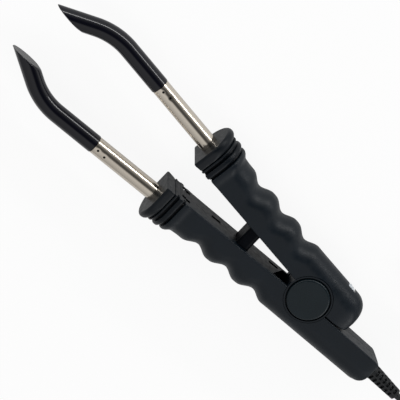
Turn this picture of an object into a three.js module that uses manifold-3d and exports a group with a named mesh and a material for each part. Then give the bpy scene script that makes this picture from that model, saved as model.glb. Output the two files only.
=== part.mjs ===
// Hair extension iron: two mirrored arms cross at a round pivot, each with a steel barrel and a bent jaw.
// Millimetres, +Z up. The iron lies on its back with the pivot axis on Z through the origin. +Y runs along the
// mid plane of the closed arms to the jaw tips, the fixed arm is on -X and the moving arm on +X.
import * as THREE from 'three';
import { mergeVertices } from 'three/addons/utils/BufferGeometryUtils.js';
import Module from 'manifold-3d';

// Driving dimensions of the arms, in the frame of an arm: u outward from the mid plane, y to the tip, z up
const OPEN_ANGLE = THREE.MathUtils.degToRad(8.9);
const FLANGE_TOP = 23.9;
const MID_Z = FLANGE_TOP / 2;
// The body is thickest at the collar and thins toward the tail, more on the back than on the front
const TOP_AT_PIVOT = 21.5;
const TOP_SLOPE = 0.0122;
const BOTTOM_AT_PIVOT = 3.6;
const BOTTOM_SLOPE = -0.0325;
const SPLIT_GAP = 0.2;
const WALL = 1.8;
const BODY_FRONT_Y = 75.8;
const FIXED_TAIL_Y = -48.2;
const TAIL_SLANT_Y = -44.3;
const TAIL_SLANT = 3.3;
const MOVING_TAIL_Y = -24.0;
const OUTER_U = 18.4;
const OUTER_SLOPE = 0.015;
const OUTER_DEPTH = 9.0;
const INNER_U = 1.4;
const INNER_SLOPE = 0.0118;
const EDGE_CHAMFER = 0.7;
const FINGER_VALLEYS = [21.9, 39.05, 56.2];
const FINGER_DEPTH = 3.0;
const FINGER_HALF = 7.8;
const ARC_STEPS = 8;

// Collar: a rib between two deep grooves, a narrow band and the flange; the body ends in a raised rim
const COLLAR_START_Y = 76.0;
const COLLAR_END_Y = 87.7;
const RIM_Y = 70.8;
const RIM_RISE = 0.5;
const RIM_OUT = 1.85;
const FLANGE_OUTER_U = 23.6;
const VENT_Y = 75.8;
const VENT_LENGTH = 5.2;
const VENT_LEVELS = [5.4, 16.3];
const VENT_HEIGHT = 2.8;
const CATCH_SLOTS = [[54.0, 59.6, 8.9], [17.9, 23.5, 7.1]];
const CATCH_HEIGHT = 2.5;
const RECESS_Y = [15.0, 21.0];

// Barrel and jaw
const BARREL_RADIUS = 4.4;
const BARREL_WALL = 0.5;
// Dimples: distance back from the barrel's end and aside from its top line
const DIMPLES = [[2.3, 0.3], [6.7, 1.0]];
const BARREL_BACK = new THREE.Vector2(10.6, 72);
const BARREL_FRONT = new THREE.Vector2(11.52, 125.2);
const JAW_RADIUS = 4.6;
const JAW_STRAIGHT = 23.2;
const JAW_BEND_RADIUS = 34.4;
const JAW_LEAN = THREE.MathUtils.degToRad(31.3);
const JAW_FACE_U = 0.15;

// Pivot
const DISC_RADIUS = 11.8;
const FRONT_DISC = [17.2, 21.6];
const BACK_DISC = [3.5, 7.4];
const LUG_RADIUS = 11.4;
const LUG_BOTTOM = 7.8;
const LUG_TOP = 16.8;
const CAP_SEAT_DEPTH = 1.2;
const BOLT_SEAT_DEPTH = 2.9;
const HUB_CLEARANCE = 12.2;
const HUB_BLOCK_RADIUS = 14.2;
const CAP_RADIUS = 10.4;
const CAP_SEAT_RADIUS = 11.05;
const CAP_TOP = 22.5;
const BOLT_RADIUS = 2.0;
const BUSH_RADIUS = 3.6;

// Spring post between the arms
const POST_Y = 40.5;
const POST_WIDTH = 6.9;
const POST_HEIGHT = 15.4;
const POST_CORNER = 2.5;
const POST_ROOT_X = -6.0;
const POST_END_X = 10.0;
const SPRING_RADIUS = 2.0;
const SPRING_WIRE = 0.3;
const SPRING_TURNS = 8;

// Thumbwheel
const DIAL_U = 12.3;
const DIAL_Y = -10.6;
const DIAL_RADIUS = 6.0;
const DIAL_BOTTOM = 9.6;
const DIAL_TOP = 14.3;

// Cord
const CORD_RADIUS = 1.7;
const CORD_SIDES = 8;
const CORD_EXIT_Z = 12.9;
const RELIEF_START = new THREE.Vector3(-8.3, -41.0, CORD_EXIT_Z);
const RELIEF_END = new THREE.Vector3(-10.6, -66.2, CORD_EXIT_Z);
const RELIEF_RING = [4.8, 3.0];
const RELIEF_NECK = 3.95;
const RELIEF_TIP = 2.9;
const COIL_GAP = 0.55;
const COIL_LAYERS = 4;
const COIL_TURNS = 13.5;
const COIL_INNER = 13.6;
const COIL_PITCH = CORD_RADIUS * 2 + COIL_GAP;
const COIL_SPAN = (COIL_TURNS / COIL_LAYERS) * COIL_PITCH;
const COIL_OUTER = COIL_INNER + COIL_SPAN;
const COIL_STEPS = 24;
const COIL_SIDES = 6;
const PLUG_LENGTH = 34;
const PIN_RADIUS = 2.0;
const PIN_LENGTH = 18.8;
const PIN_PITCH = 18.6;

const COLOURS = {
  shell: '#22262a',
  collar: '#24282a',
  gloss: '#0c0d11',
  steel: '#c9c2b4',
  metal: '#a9abb0',
  ceramic: '#e6e2d6',
  sleeve: '#d9d2bf',
  board: '#1f6b3f',
  brass: '#b8975a',
  dial: '#e9ebee',
  cord: '#15171a',
  dark: '#0c1014',
};

const wasm = await Module();
wasm.setup();

const iron = new THREE.Group();
const movingArm = new THREE.Group();
movingArm.rotation.z = -OPEN_ANGLE;
iron.add(movingArm);

// Signed volume of a closed triangle geometry
function signedVolume(geometry) {
  const position = geometry.attributes.position;
  const index = geometry.index;
  const a = new THREE.Vector3();
  const b = new THREE.Vector3();
  const c = new THREE.Vector3();
  let sum = 0;
  for (let i = 0; i < index.count; i += 3) {
    a.fromBufferAttribute(position, index.getX(i));
    b.fromBufferAttribute(position, index.getX(i + 1));
    c.fromBufferAttribute(position, index.getX(i + 2));
    sum += a.dot(b.cross(c));
  }
  return sum / 6;
}

// Keeps only merged positions and turns the faces outward
function closed(geometry) {
  geometry.deleteAttribute('normal');
  geometry.deleteAttribute('uv');
  const merged = mergeVertices(geometry, 1e-4);
  if (signedVolume(merged) < 0) {
    const index = merged.index;
    for (let i = 0; i < index.count; i += 3) {
      const second = index.getX(i + 1);
      index.setX(i + 1, index.getX(i + 2));
      index.setX(i + 2, second);
    }
  }
  return merged;
}

function solid(geometry) {
  const clean = closed(geometry);
  const vertProperties = new Float32Array(clean.attributes.position.array);
  const triVerts = new Uint32Array(clean.index.array);
  return new wasm.Manifold(new wasm.Mesh({ numProp: 3, vertProperties, triVerts }));
}

function geometryOf(manifold) {
  const mesh = manifold.getMesh();
  const geometry = new THREE.BufferGeometry();
  geometry.setAttribute('position', new THREE.BufferAttribute(new Float32Array(mesh.vertProperties), 3));
  geometry.setIndex(new THREE.BufferAttribute(new Uint32Array(mesh.triVerts), 1));
  return geometry;
}

// Mirrors an arm geometry to the fixed side
function mirrored(geometry) {
  const copy = geometry.clone();
  copy.scale(-1, 1, 1);
  return closed(copy);
}

function addMesh(name, geometry, colour, roughness, metalness, parent = iron) {
  const mesh = new THREE.Mesh(
    closed(geometry),
    new THREE.MeshStandardMaterial({ color: COLOURS[colour], roughness, metalness }),
  );
  mesh.name = name;
  mesh.material.name = name;
  parent.add(mesh);
  return mesh;
}

// Adds a piece of an arm: mirrored for the fixed arm, in the turned group for the moving arm
function addArmPiece(arm, name, geometry, colour, roughness, metalness) {
  const placed = arm === 'fixed' ? mirrored(geometry) : geometry;
  return addMesh(`${arm}_${name}`, placed, colour, roughness, metalness, arm === 'fixed' ? iron : movingArm);
}

function box(x0, x1, y0, y1, z0, z1) {
  const geometry = new THREE.BoxGeometry(x1 - x0, y1 - y0, z1 - z0);
  geometry.translate((x0 + x1) / 2, (y0 + y1) / 2, (z0 + z1) / 2);
  return geometry;
}

// Cylinder along Z
function post(radius, x, y, z0, z1, sides = 24) {
  const geometry = new THREE.CylinderGeometry(radius, radius, z1 - z0, sides);
  geometry.rotateX(Math.PI / 2);
  geometry.translate(x, y, (z0 + z1) / 2);
  return geometry;
}

// Revolved profile of [radius, height] pairs, turned to stand along Z
function lathe(profile, sides) {
  const geometry = new THREE.LatheGeometry(profile.map(([r, h]) => new THREE.Vector2(r, h)), sides);
  geometry.rotateX(Math.PI / 2);
  return geometry;
}

// Skin through rings of equal length with a fan on each end
function loft(rings) {
  const count = rings[0].length;
  const positions = [];
  const index = [];
  rings.forEach((ring) => ring.forEach((p) => positions.push(p.x, p.y, p.z)));
  for (let i = 0; i + 1 < rings.length; i += 1) {
    for (let j = 0; j < count; j += 1) {
      const a = i * count + j;
      const b = i * count + ((j + 1) % count);
      index.push(a, b, b + count, a, b + count, a + count);
    }
  }
  [[0, true], [rings.length - 1, false]].forEach(([ringIndex, first]) => {
    const centre = new THREE.Vector3();
    rings[ringIndex].forEach((p) => centre.add(p));
    centre.divideScalar(count);
    const c = positions.length / 3;
    positions.push(centre.x, centre.y, centre.z);
    for (let j = 0; j < count; j += 1) {
      const a = ringIndex * count + j;
      const b = ringIndex * count + ((j + 1) % count);
      index.push(c, first ? b : a, first ? a : b);
    }
  });
  const geometry = new THREE.BufferGeometry();
  geometry.setAttribute('position', new THREE.Float32BufferAttribute(positions, 3));
  geometry.setIndex(index);
  return geometry;
}

// Circle of a tube around a point, square to a direction
function ringAround(centre, direction, radius, sides, turn = 0) {
  const side = new THREE.Vector3(0, 0, 1).cross(direction);
  if (side.lengthSq() < 1e-6) side.set(1, 0, 0);
  side.normalize();
  const up = new THREE.Vector3().crossVectors(direction, side).normalize();
  const ring = [];
  for (let i = 0; i < sides; i += 1) {
    const angle = (i / sides) * Math.PI * 2 + turn;
    ring.push(centre.clone()
      .addScaledVector(side, Math.cos(angle) * radius)
      .addScaledVector(up, Math.sin(angle) * radius));
  }
  return ring;
}

// Tube through points, with the section square to the path at each
function tubeThrough(points, radius, sides) {
  const rings = points.map((p, i) => {
    const before = points[Math.max(0, i - 1)];
    const after = points[Math.min(points.length - 1, i + 1)];
    const r = typeof radius === 'function' ? radius(i / (points.length - 1)) : radius;
    return ringAround(p, after.clone().sub(before).normalize(), r, sides, Math.PI / sides);
  });
  return loft(rings);
}

// Share of the raised rim at the front end of the body
function rim(y) {
  return THREE.MathUtils.smoothstep(y, RIM_Y, RIM_Y + 3.4);
}

function bodyTop(y) {
  return TOP_AT_PIVOT + TOP_SLOPE * Math.min(y, COLLAR_START_Y) + RIM_RISE * rim(y);
}

function bodyBottom(y) {
  return BOTTOM_AT_PIVOT + BOTTOM_SLOPE * Math.min(y, COLLAR_START_Y) - RIM_RISE * rim(y);
}

// Outlines of the arm body in plan
function innerU(arm, y) {
  if (y >= 0) return INNER_U + INNER_SLOPE * y;
  if (arm === 'fixed') return INNER_U + 0.022 * -y;
  if (y > -6) return THREE.MathUtils.lerp(INNER_U, 0, y / -6);
  return 0.13 * (-y - 6);
}

function outerU(y) {
  let u = OUTER_U + OUTER_SLOPE * Math.max(0, y - 10);
  u += 0.6 * THREE.MathUtils.smoothstep(y, 66, BODY_FRONT_Y) + RIM_OUT * rim(y);
  FINGER_VALLEYS.forEach((valley) => {
    const away = Math.abs(y - valley) / FINGER_HALF;
    if (away < 1) u -= FINGER_DEPTH * 0.5 * (1 + Math.cos(Math.PI * away));
  });
  return u;
}

// Section of an arm: flat inner side with small chamfers, flat front and back, half ellipse on the outer side
function section(y, inner, outer, top, bottom, depth, chamfer, steps = ARC_STEPS) {
  const mid = (top + bottom) / 2;
  const half = (top - bottom) / 2;
  const ring = [];
  for (let i = 0; i <= steps; i += 1) {
    const angle = Math.PI / 2 - (Math.PI * i) / steps;
    ring.push(new THREE.Vector3(outer - depth + depth * Math.cos(angle), y, mid + half * Math.sin(angle)));
  }
  ring.push(new THREE.Vector3(inner + chamfer, y, bottom));
  ring.push(new THREE.Vector3(inner, y, bottom + chamfer));
  ring.push(new THREE.Vector3(inner, y, top - chamfer));
  ring.push(new THREE.Vector3(inner + chamfer, y, top));
  return ring;
}

// Stations along the arm, closer together round the tail and over the finger valleys
function stations(tailY, tailRadius, perPitch) {
  const list = [0, 0.12, 0.3, 0.67, 0.91, 1.1].map((f) => tailY + f * tailRadius);
  for (let y = tailY + tailRadius + 6; y < 11; y += 8) list.push(y);
  const step = (FINGER_VALLEYS[1] - FINGER_VALLEYS[0]) / perPitch;
  for (let y = FINGER_VALLEYS[0] - step * (perPitch / 2); y < RIM_Y - 1.5; y += step) list.push(y);
  list.push(RIM_Y, RIM_Y + 1.4, RIM_Y + 3.4, BODY_FRONT_Y - 0.4, BODY_FRONT_Y);
  return list;
}

const TAIL = {
  fixed: { y: FIXED_TAIL_Y, radius: 5.8, drop: 7.6, squeeze: 0.4, slant: TAIL_SLANT },
  moving: { y: MOVING_TAIL_Y, radius: 8.5, drop: 7.5, squeeze: 2.5, slant: 0 },
};

function bodySkin(arm, inset) {
  const tail = TAIL[arm];
  const rings = stations(tail.y, tail.radius, inset ? 4 : 6).map((y) => {
    const e = Math.min(1, (y - tail.y) / tail.radius);
    const round = 1 - Math.sqrt(1 - (1 - e) ** 2);
    const at = inset ? Math.max(y, tail.y + 3.5) : y;
    const inner = innerU(arm, y) + 1.0 * round + inset;
    const blunt = y === BODY_FRONT_Y && !inset ? 0.4 : 0;
    const outer = outerU(y) - tail.drop * round - inset - blunt;
    const squeeze = tail.squeeze * round + inset + blunt;
    const depth = Math.min(OUTER_DEPTH - inset * 0.6, (outer - inner) * 0.7);
    const top = bodyTop(y) - squeeze;
    // The fixed tail rises from its lower edge toward the lead; the room inside follows a wall away
    const slant = tail.slant * Math.max(0, TAIL_SLANT_Y + (inset ? 1.9 : 0) - at);
    const bottom = bodyBottom(y) + squeeze + slant;
    if (inset) return section(at, inner, outer, top, bottom, depth, 0.3, 6);
    return section(at, inner, outer, top, bottom, depth, EDGE_CHAMFER);
  });
  if (!inset) return loft(rings);
  const kept = rings.filter((ring, i) => i === 0 || ring[0].y > rings[i - 1][0].y + 0.01);
  const last = kept[kept.length - 1].map((p) => p.clone().setY(BODY_FRONT_Y + 1));
  return loft([...kept, last]);
}

// Keeps the part of a shell above or below the parting plane
function half(whole, front) {
  const cut = SPLIT_GAP / 2;
  const keep = front ? box(-40, 60, -80, 120, MID_Z + cut, 40) : box(-40, 60, -80, 120, -10, MID_Z - cut);
  return whole.intersect(solid(keep));
}

// Opening for the spring post in an inner wall, as a rounded block along u
function postBlock(u0, u1, y0, y1, clearance) {
  const w = (y1 - y0) / 2 + clearance;
  const h = POST_HEIGHT / 2 + clearance;
  const r = POST_CORNER;
  const shape = new THREE.Shape();
  shape.moveTo(-w + r, -h);
  shape.lineTo(w - r, -h);
  shape.absarc(w - r, -h + r, r, -Math.PI / 2, 0);
  shape.lineTo(w, h - r);
  shape.absarc(w - r, h - r, r, 0, Math.PI / 2);
  shape.lineTo(-w + r, h);
  shape.absarc(-w + r, h - r, r, Math.PI / 2, Math.PI);
  shape.lineTo(-w, -h + r);
  shape.absarc(-w + r, -h + r, r, Math.PI, Math.PI * 1.5);
  const options = { depth: u1 - u0, bevelEnabled: false, curveSegments: 4 };
  const geometry = new THREE.ExtrudeGeometry(shape, options);
  // Shape x becomes y and shape y becomes z, extruded along u
  geometry.applyMatrix4(new THREE.Matrix4().makeBasis(
    new THREE.Vector3(0, 1, 0),
    new THREE.Vector3(0, 0, 1),
    new THREE.Vector3(1, 0, 0),
  ));
  geometry.translate(u0, (y0 + y1) / 2, MID_Z);
  return geometry;
}

// Screws hold the two shells together from the back
const SCREWS = {
  fixed: [[10.5, -24], [10.5, 30.5], [9.4, 61]],
  moving: [[10.8, 26], [9.4, 61]],
};
const SCREW_HEAD = 2.6;
const SCREW_HEAD_DEPTH = 2.6;
const SCREW_SHANK = 1.3;
const SCREW_TOP = 16.5;

function addScrewSeats(whole, outer, arm) {
  let result = whole;
  SCREWS[arm].forEach(([u, y]) => {
    const headTop = bodyBottom(y) + SCREW_HEAD_DEPTH;
    result = result.add(outer.intersect(solid(post(3.6, u, y, 0, bodyTop(y) - 1, 14))));
    result = result.subtract(solid(post(SCREW_HEAD + 0.3, u, y, -1, headTop + 0.3, 14)));
    result = result.subtract(solid(post(SCREW_SHANK + 0.3, u, y, headTop - 1, SCREW_TOP + 0.8, 12)));
  });
  return result;
}

// Two vents in the inner wall, across the border of body and collar
function cutVents(whole) {
  return VENT_LEVELS.reduce((result, z) => result.subtract(solid(box(
    -1,
    5.5,
    VENT_Y - VENT_LENGTH / 2,
    VENT_Y + VENT_LENGTH / 2,
    z - VENT_HEIGHT / 2,
    z + VENT_HEIGHT / 2,
  ))), whole);
}

// Two catch slots below the parting plane, through the inner wall
function cutCatchSlots(whole) {
  return CATCH_SLOTS.reduce(
    (result, [y0, y1, z]) => result.subtract(solid(box(-1, 5.5, y0, y1, z, z + CATCH_HEIGHT))),
    whole,
  );
}

// Opening in the inner wall at the pivot, longer toward the front
function recess(z0, z1) {
  const geometry = box(-4, 4.5, 0, RECESS_Y[0], z0, z1);
  const place = geometry.attributes.position;
  for (let i = 0; i < place.count; i += 1) {
    if (place.getY(i) > 1 && place.getZ(i) > (z0 + z1) / 2) place.setY(i, RECESS_Y[1]);
  }
  return geometry;
}

function fixedShells() {
  const outer = solid(bodySkin('fixed', 0));
  let whole = outer.subtract(solid(bodySkin('fixed', WALL)));
  whole = addScrewSeats(whole, outer, 'fixed');
  whole = cutVents(cutCatchSlots(whole));
  const roomBottom = BOTTOM_AT_PIVOT + WALL;
  const roomTop = TOP_AT_PIVOT - WALL;
  whole = whole.subtract(solid(recess(roomBottom, roomTop)));
  whole = whole.subtract(solid(post(HUB_CLEARANCE, 0, 0, roomBottom, roomTop, 28)));
  [FRONT_DISC, BACK_DISC].forEach(([z0, z1]) => {
    whole = whole.add(solid(post(DISC_RADIUS, 0, 0, z0, z1, 28)));
  });
  whole = whole.subtract(solid(post(BOLT_RADIUS + 0.3, 0, 0, -1, 30, 12)));
  whole = whole.subtract(solid(post(CAP_SEAT_RADIUS, 0, 0, FRONT_DISC[1] - CAP_SEAT_DEPTH, 30, 28)));
  whole = whole.subtract(solid(post(CAP_SEAT_RADIUS, 0, 0, -1, BACK_DISC[0] + CAP_SEAT_DEPTH, 28)));
  whole = whole.subtract(solid(post(4.9, 0, 0, FRONT_DISC[1] - BOLT_SEAT_DEPTH, 30, 16)));
  whole = whole.subtract(solid(post(4.9, 0, 0, -1, BACK_DISC[0] + BOLT_SEAT_DEPTH, 16)));
  whole = whole.subtract(solid(postBlock(-4, 6.6, POST_Y - POST_WIDTH / 2, POST_Y + POST_WIDTH / 2, 0.15)));
  // Seat for the root ring of the strain relief and hole for its neck, mirrored with the arm
  const root = new THREE.Vector3(-RELIEF_START.x, RELIEF_START.y, RELIEF_START.z);
  const out = new THREE.Vector3(-RELIEF_END.x, RELIEF_END.y, RELIEF_END.z).sub(root).normalize();
  const seat = loft([-0.3, RELIEF_RING[1] + 0.3].map(
    (t) => ringAround(root.clone().addScaledVector(out, t), out, RELIEF_RING[0] + 0.3, 14),
  ));
  const neck = loft([1, 14].map(
    (t) => ringAround(root.clone().addScaledVector(out, t), out, RELIEF_NECK + 0.3, 14),
  ));
  return whole.subtract(solid(seat)).subtract(solid(neck));
}

function movingShells() {
  const outer = solid(bodySkin('moving', 0));
  let whole = outer.subtract(solid(bodySkin('moving', WALL)));
  const block = solid(post(HUB_BLOCK_RADIUS, 0, 0, BOTTOM_AT_PIVOT + 1, TOP_AT_PIVOT - 1, 28));
  whole = whole.add(outer.intersect(block));
  whole = addScrewSeats(whole, outer, 'moving');
  whole = cutVents(cutCatchSlots(whole));
  whole = whole.add(solid(post(LUG_RADIUS, 0, 0, LUG_BOTTOM, LUG_TOP, 28)));
  whole = whole.subtract(solid(post(HUB_CLEARANCE, 0, 0, LUG_TOP, 30, 28)));
  whole = whole.subtract(solid(post(HUB_CLEARANCE, 0, 0, -5, LUG_BOTTOM, 28)));
  whole = whole.subtract(solid(post(BUSH_RADIUS + 0.3, 0, 0, 0, 25, 16)));
  const travel = POST_WIDTH / 2;
  const pocket = postBlock(-4, POST_END_X + 0.5, POST_Y - travel - 0.6, POST_Y + travel + 1.6, 0.4);
  whole = whole.subtract(solid(pocket));
  // Room and slot for the thumbwheel
  whole = whole.subtract(solid(post(DIAL_RADIUS + 0.45, DIAL_U, DIAL_Y, 7.0, DIAL_TOP + 0.5, 24)));
  whole = whole.subtract(solid(box(15.5, 22, DIAL_Y - 2.6, DIAL_Y + 2.6, DIAL_BOTTOM - 1.0, DIAL_TOP + 1.0)));
  // Room for the board under the wheel
  whole = whole.subtract(solid(box(8.2, 15.2, -18.4, -9.4, 5.8, 8.0)));
  return whole;
}

function collar() {
  const rear = 69.8;
  const deep = { outer: 21.1, rise: -1.9, depth: 10.2, inward: 0.3 };
  const rib = { outer: 22.4, rise: 0.85, depth: 10.8, inward: 0.45 };
  const second = { outer: 21.5, rise: -1.9, depth: 10.4, inward: 0.45 };
  const band = { outer: 22.2, rise: 0.85, depth: 10.9, inward: 0.45 };
  const fine = { outer: 21.3, rise: -0.6, depth: 10.6, inward: 0 };
  const flange = { outer: FLANGE_OUTER_U, top: FLANGE_TOP, lift: 0, depth: 11.7, inward: 0.7 };
  const rearOuter = FLANGE_OUTER_U - 1.9;
  const flangeRear = { outer: rearOuter, top: FLANGE_TOP - 0.6, lift: 0.6, depth: 10.8, inward: 0.2 };
  const levels = [
    [COLLAR_START_Y, deep, 0],
    [77.0, deep, 0],
    [77.3, rib, 0],
    [79.8, rib, 0],
    [80.1, second, 0],
    [81.1, second, 0],
    [81.3, band, 0],
    [82.2, band, 0],
    [82.3, fine, 0],
    [82.7, fine, 0],
    [82.9, flangeRear, 0],
    [84.8, flange, 0],
    [COLLAR_END_Y - 1.2, flange, 0],
    [COLLAR_END_Y - 0.5, flange, 0.5],
    [COLLAR_END_Y, flange, 1.3],
  ];
  const rings = levels.map(([y, form, blunt]) => {
    const inner = INNER_U + INNER_SLOPE * y - form.inward + blunt * 0.4;
    const top = (form.top || bodyTop(COLLAR_START_Y) - RIM_RISE + form.rise) - blunt * 0.25;
    const low = form.top ? form.lift : bodyBottom(COLLAR_START_Y) + RIM_RISE - form.rise;
    const bottom = low + blunt * 0.25;
    return section(y, inner, form.outer - blunt, top, bottom, form.depth, 0.6);
  });
  // Spigot behind the ribs, inside the shells
  const spigot = loft([rear, COLLAR_START_Y + 0.6].map((y) => section(
    y,
    innerU('fixed', rear) + WALL + 0.9,
    outerU(rear) - WALL - 0.5,
    bodyTop(rear) - WALL - 0.3,
    bodyBottom(rear) + WALL + 0.3,
    OUTER_DEPTH - 1.4,
    0.6,
    8,
  )));
  let whole = solid(loft(rings)).add(solid(spigot));
  const hollow = loft([rear - 1, 81].map((y) => section(y, 4.6, 17.2, 18.5, 5.4, 6.2, 0.4, 6)));
  whole = cutVents(whole.subtract(solid(hollow)));
  const lean = Math.atan2(BARREL_FRONT.x - BARREL_BACK.x, BARREL_FRONT.y - BARREL_BACK.y);
  const bore = new THREE.CylinderGeometry(BARREL_RADIUS + 0.3, BARREL_RADIUS + 0.3, 16, 24);
  bore.rotateZ(-lean);
  bore.translate(barrelU(84), 84, MID_Z);
  return geometryOf(whole.subtract(solid(bore)));
}

function barrelU(y) {
  const t = (y - BARREL_BACK.y) / (BARREL_FRONT.y - BARREL_BACK.y);
  return THREE.MathUtils.lerp(BARREL_BACK.x, BARREL_FRONT.x, t);
}

// Point on the barrel axis
function onAxis(y) {
  return new THREE.Vector3(barrelU(y), y, MID_Z);
}

function hollowRod(y0, y1, outer, inner, sides) {
  const direction = onAxis(y1).sub(onAxis(y0)).normalize();
  const ends = [y0, y1].map((y) => ringAround(onAxis(y), direction, outer, sides));
  const outside = solid(loft(ends));
  if (!inner) return geometryOf(outside);
  const bore = solid(loft([
    ringAround(onAxis(y0 - 1), direction, inner, sides),
    ringAround(onAxis(y1 + 1), direction, inner, sides),
  ]));
  return geometryOf(outside.subtract(bore));
}

// Steel barrel with the two dimples that lock it to the jaw
function barrel() {
  let tube = solid(hollowRod(BARREL_BACK.y, BARREL_FRONT.y, BARREL_RADIUS, BARREL_RADIUS - BARREL_WALL, 24));
  DIMPLES.forEach(([back, aside]) => {
    const y = BARREL_FRONT.y - back;
    const dimple = new THREE.SphereGeometry(0.9, 8, 6);
    dimple.translate(barrelU(y) + aside, y, MID_Z + Math.sqrt(BARREL_RADIUS ** 2 - aside ** 2) + 0.35);
    tube = tube.subtract(solid(dimple));
  });
  return geometryOf(tube);
}

// Centre line of the jaw: straight on from the barrel, a bend inward, then straight through the mid plane
function jawPath() {
  const lean = Math.atan2(BARREL_FRONT.x - BARREL_BACK.x, BARREL_FRONT.y - BARREL_BACK.y);
  const start = onAxis(BARREL_FRONT.y + 0.3);
  const forward = new THREE.Vector3(Math.sin(lean), Math.cos(lean), 0);
  const bendStart = start.clone().addScaledVector(forward, JAW_STRAIGHT);
  const inward = new THREE.Vector3(-Math.cos(lean), Math.sin(lean), 0);
  const centre = bendStart.clone().addScaledVector(inward, JAW_BEND_RADIUS);
  const points = [start, bendStart];
  const turns = 7;
  for (let i = 1; i <= turns; i += 1) {
    const angle = lean - ((lean + JAW_LEAN) * i) / turns;
    points.push(centre.clone().add(
      new THREE.Vector3(Math.cos(angle), -Math.sin(angle), 0).multiplyScalar(JAW_BEND_RADIUS),
    ));
  }
  const end = points[points.length - 1];
  const toTip = new THREE.Vector3(-Math.sin(JAW_LEAN), Math.cos(JAW_LEAN), 0);
  points.push(end.clone().addScaledVector(toTip, 34));
  return points;
}

function jaw() {
  let rod = solid(tubeThrough(jawPath(), JAW_RADIUS, 20));
  rod = rod.intersect(solid(box(JAW_FACE_U, 40, 100, 230, -5, 40)));
  const shankRadius = BARREL_RADIUS - BARREL_WALL - 0.35;
  const shank = solid(hollowRod(BARREL_FRONT.y - 9, BARREL_FRONT.y + 2, shankRadius, 0, 16));
  rod = rod.add(shank);
  const direction = onAxis(130).sub(onAxis(120)).normalize();
  const bore = solid(loft([
    ringAround(onAxis(BARREL_FRONT.y - 10), direction, 2.5, 12),
    ringAround(onAxis(BARREL_FRONT.y + 18), direction, 2.5, 12),
  ]));
  return geometryOf(rod.subtract(bore));
}

// Heater, its holder and the sleeve of its leads, alike in both arms
function addHeating(arm) {
  addArmPiece(arm, 'barrel', barrel(), 'steel', 0.22, 1);
  addArmPiece(arm, 'jaw', jaw(), 'gloss', 0.12, 0.1);
  addArmPiece(arm, 'heater', hollowRod(95, BARREL_FRONT.y + 16, 2.2, 0, 12), 'ceramic', 0.6, 0);
  addArmPiece(arm, 'heater_holder', hollowRod(73.4, 80.4, 5.8, BARREL_RADIUS + 0.25, 16), 'ceramic', 0.7, 0);
  addArmPiece(arm, 'heater_sleeve', hollowRod(66.5, 94.6, 1.5, 0, 8), 'sleeve', 0.8, 0);
  addArmPiece(arm, 'collar', collar(), 'collar', 0.5, 0);
}

function addShells(arm, whole) {
  addArmPiece(arm, 'front_shell', geometryOf(half(whole, true)), 'shell', 0.55, 0);
  addArmPiece(arm, 'back_shell', geometryOf(half(whole, false)), 'shell', 0.55, 0);
  SCREWS[arm].forEach(([u, y], i) => {
    const headTop = bodyBottom(y) + SCREW_HEAD_DEPTH;
    const head = solid(post(SCREW_HEAD, u, y, headTop - 1.8, headTop, 12));
    const shank = solid(post(SCREW_SHANK, u, y, headTop - 0.4, SCREW_TOP, 8));
    addArmPiece(arm, `screw_${i + 1}`, geometryOf(head.add(shank)), 'metal', 0.35, 1);
  });
}

addShells('fixed', fixedShells());
addShells('moving', movingShells());
addHeating('fixed');
addHeating('moving');

// Pivot: cap, bolt, bush, nut and back cap on the pivot axis
function capProfile(flatZ, rimZ, domeZ) {
  return [[0, flatZ], [CAP_RADIUS, flatZ], [CAP_RADIUS, rimZ], [CAP_RADIUS - 0.8, domeZ], [0, domeZ]];
}
const frontCap = lathe(capProfile(FRONT_DISC[1] - 1.1, CAP_TOP - 0.6, CAP_TOP), 32);
addMesh('pivot_front_cap', frontCap, 'shell', 0.5, 0);
addMesh('pivot_back_cap', lathe(capProfile(BACK_DISC[0] + 1.1, 0.6, 0), 32), 'shell', 0.5, 0);
addMesh(
  'pivot_bolt',
  lathe([[0, 4.8], [BOLT_RADIUS, 4.8], [BOLT_RADIUS, 18.9], [4.5, 18.9], [4.5, 20.3], [0, 20.3]], 16),
  'metal',
  0.3,
  1,
);
const nut = solid(post(4.2, 0, 0, 4.8, 6.2, 6)).subtract(solid(post(BOLT_RADIUS + 0.3, 0, 0, 2, 8, 12)));
addMesh('pivot_nut', geometryOf(nut), 'metal', 0.35, 1);
const bushBore = solid(post(BOLT_RADIUS + 0.3, 0, 0, 5, 19, 12));
const bush = solid(post(BUSH_RADIUS, 0, 0, 7.7, 16.9, 16)).subtract(bushBore);
addMesh('pivot_bush', geometryOf(bush), 'brass', 0.35, 1, movingArm);

// Spring post: a rounded sleeve rooted in the fixed arm that slides in a pocket of the moving arm
let sleeve = solid(postBlock(POST_ROOT_X, POST_END_X, POST_Y - POST_WIDTH / 2, POST_Y + POST_WIDTH / 2, 0));
const sleeveBore = new THREE.CylinderGeometry(2.7, 2.7, POST_END_X - POST_ROOT_X, 16);
sleeveBore.rotateZ(Math.PI / 2);
sleeveBore.translate((POST_END_X + POST_ROOT_X) / 2 + 1.5, POST_Y, MID_Z);
sleeve = sleeve.subtract(solid(sleeveBore));
addMesh('spring_post', geometryOf(sleeve), 'dark', 0.35, 0);

// Return spring, from the floor of the sleeve to the outer wall of the moving arm
function returnSpring() {
  const start = POST_ROOT_X + 2.0;
  const end = 19.5;
  const steps = SPRING_TURNS * 8;
  const points = [];
  for (let i = 0; i <= steps; i += 1) {
    const f = i / steps;
    const angle = f * SPRING_TURNS * Math.PI * 2;
    points.push(new THREE.Vector3(
      THREE.MathUtils.lerp(start, end, f),
      POST_Y + SPRING_RADIUS * Math.cos(angle),
      MID_Z + SPRING_RADIUS * Math.sin(angle),
    ));
  }
  return points;
}
const springPoints = returnSpring();
addMesh('return_spring', tubeThrough(springPoints, SPRING_WIRE, 5), 'metal', 0.3, 1);

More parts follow.
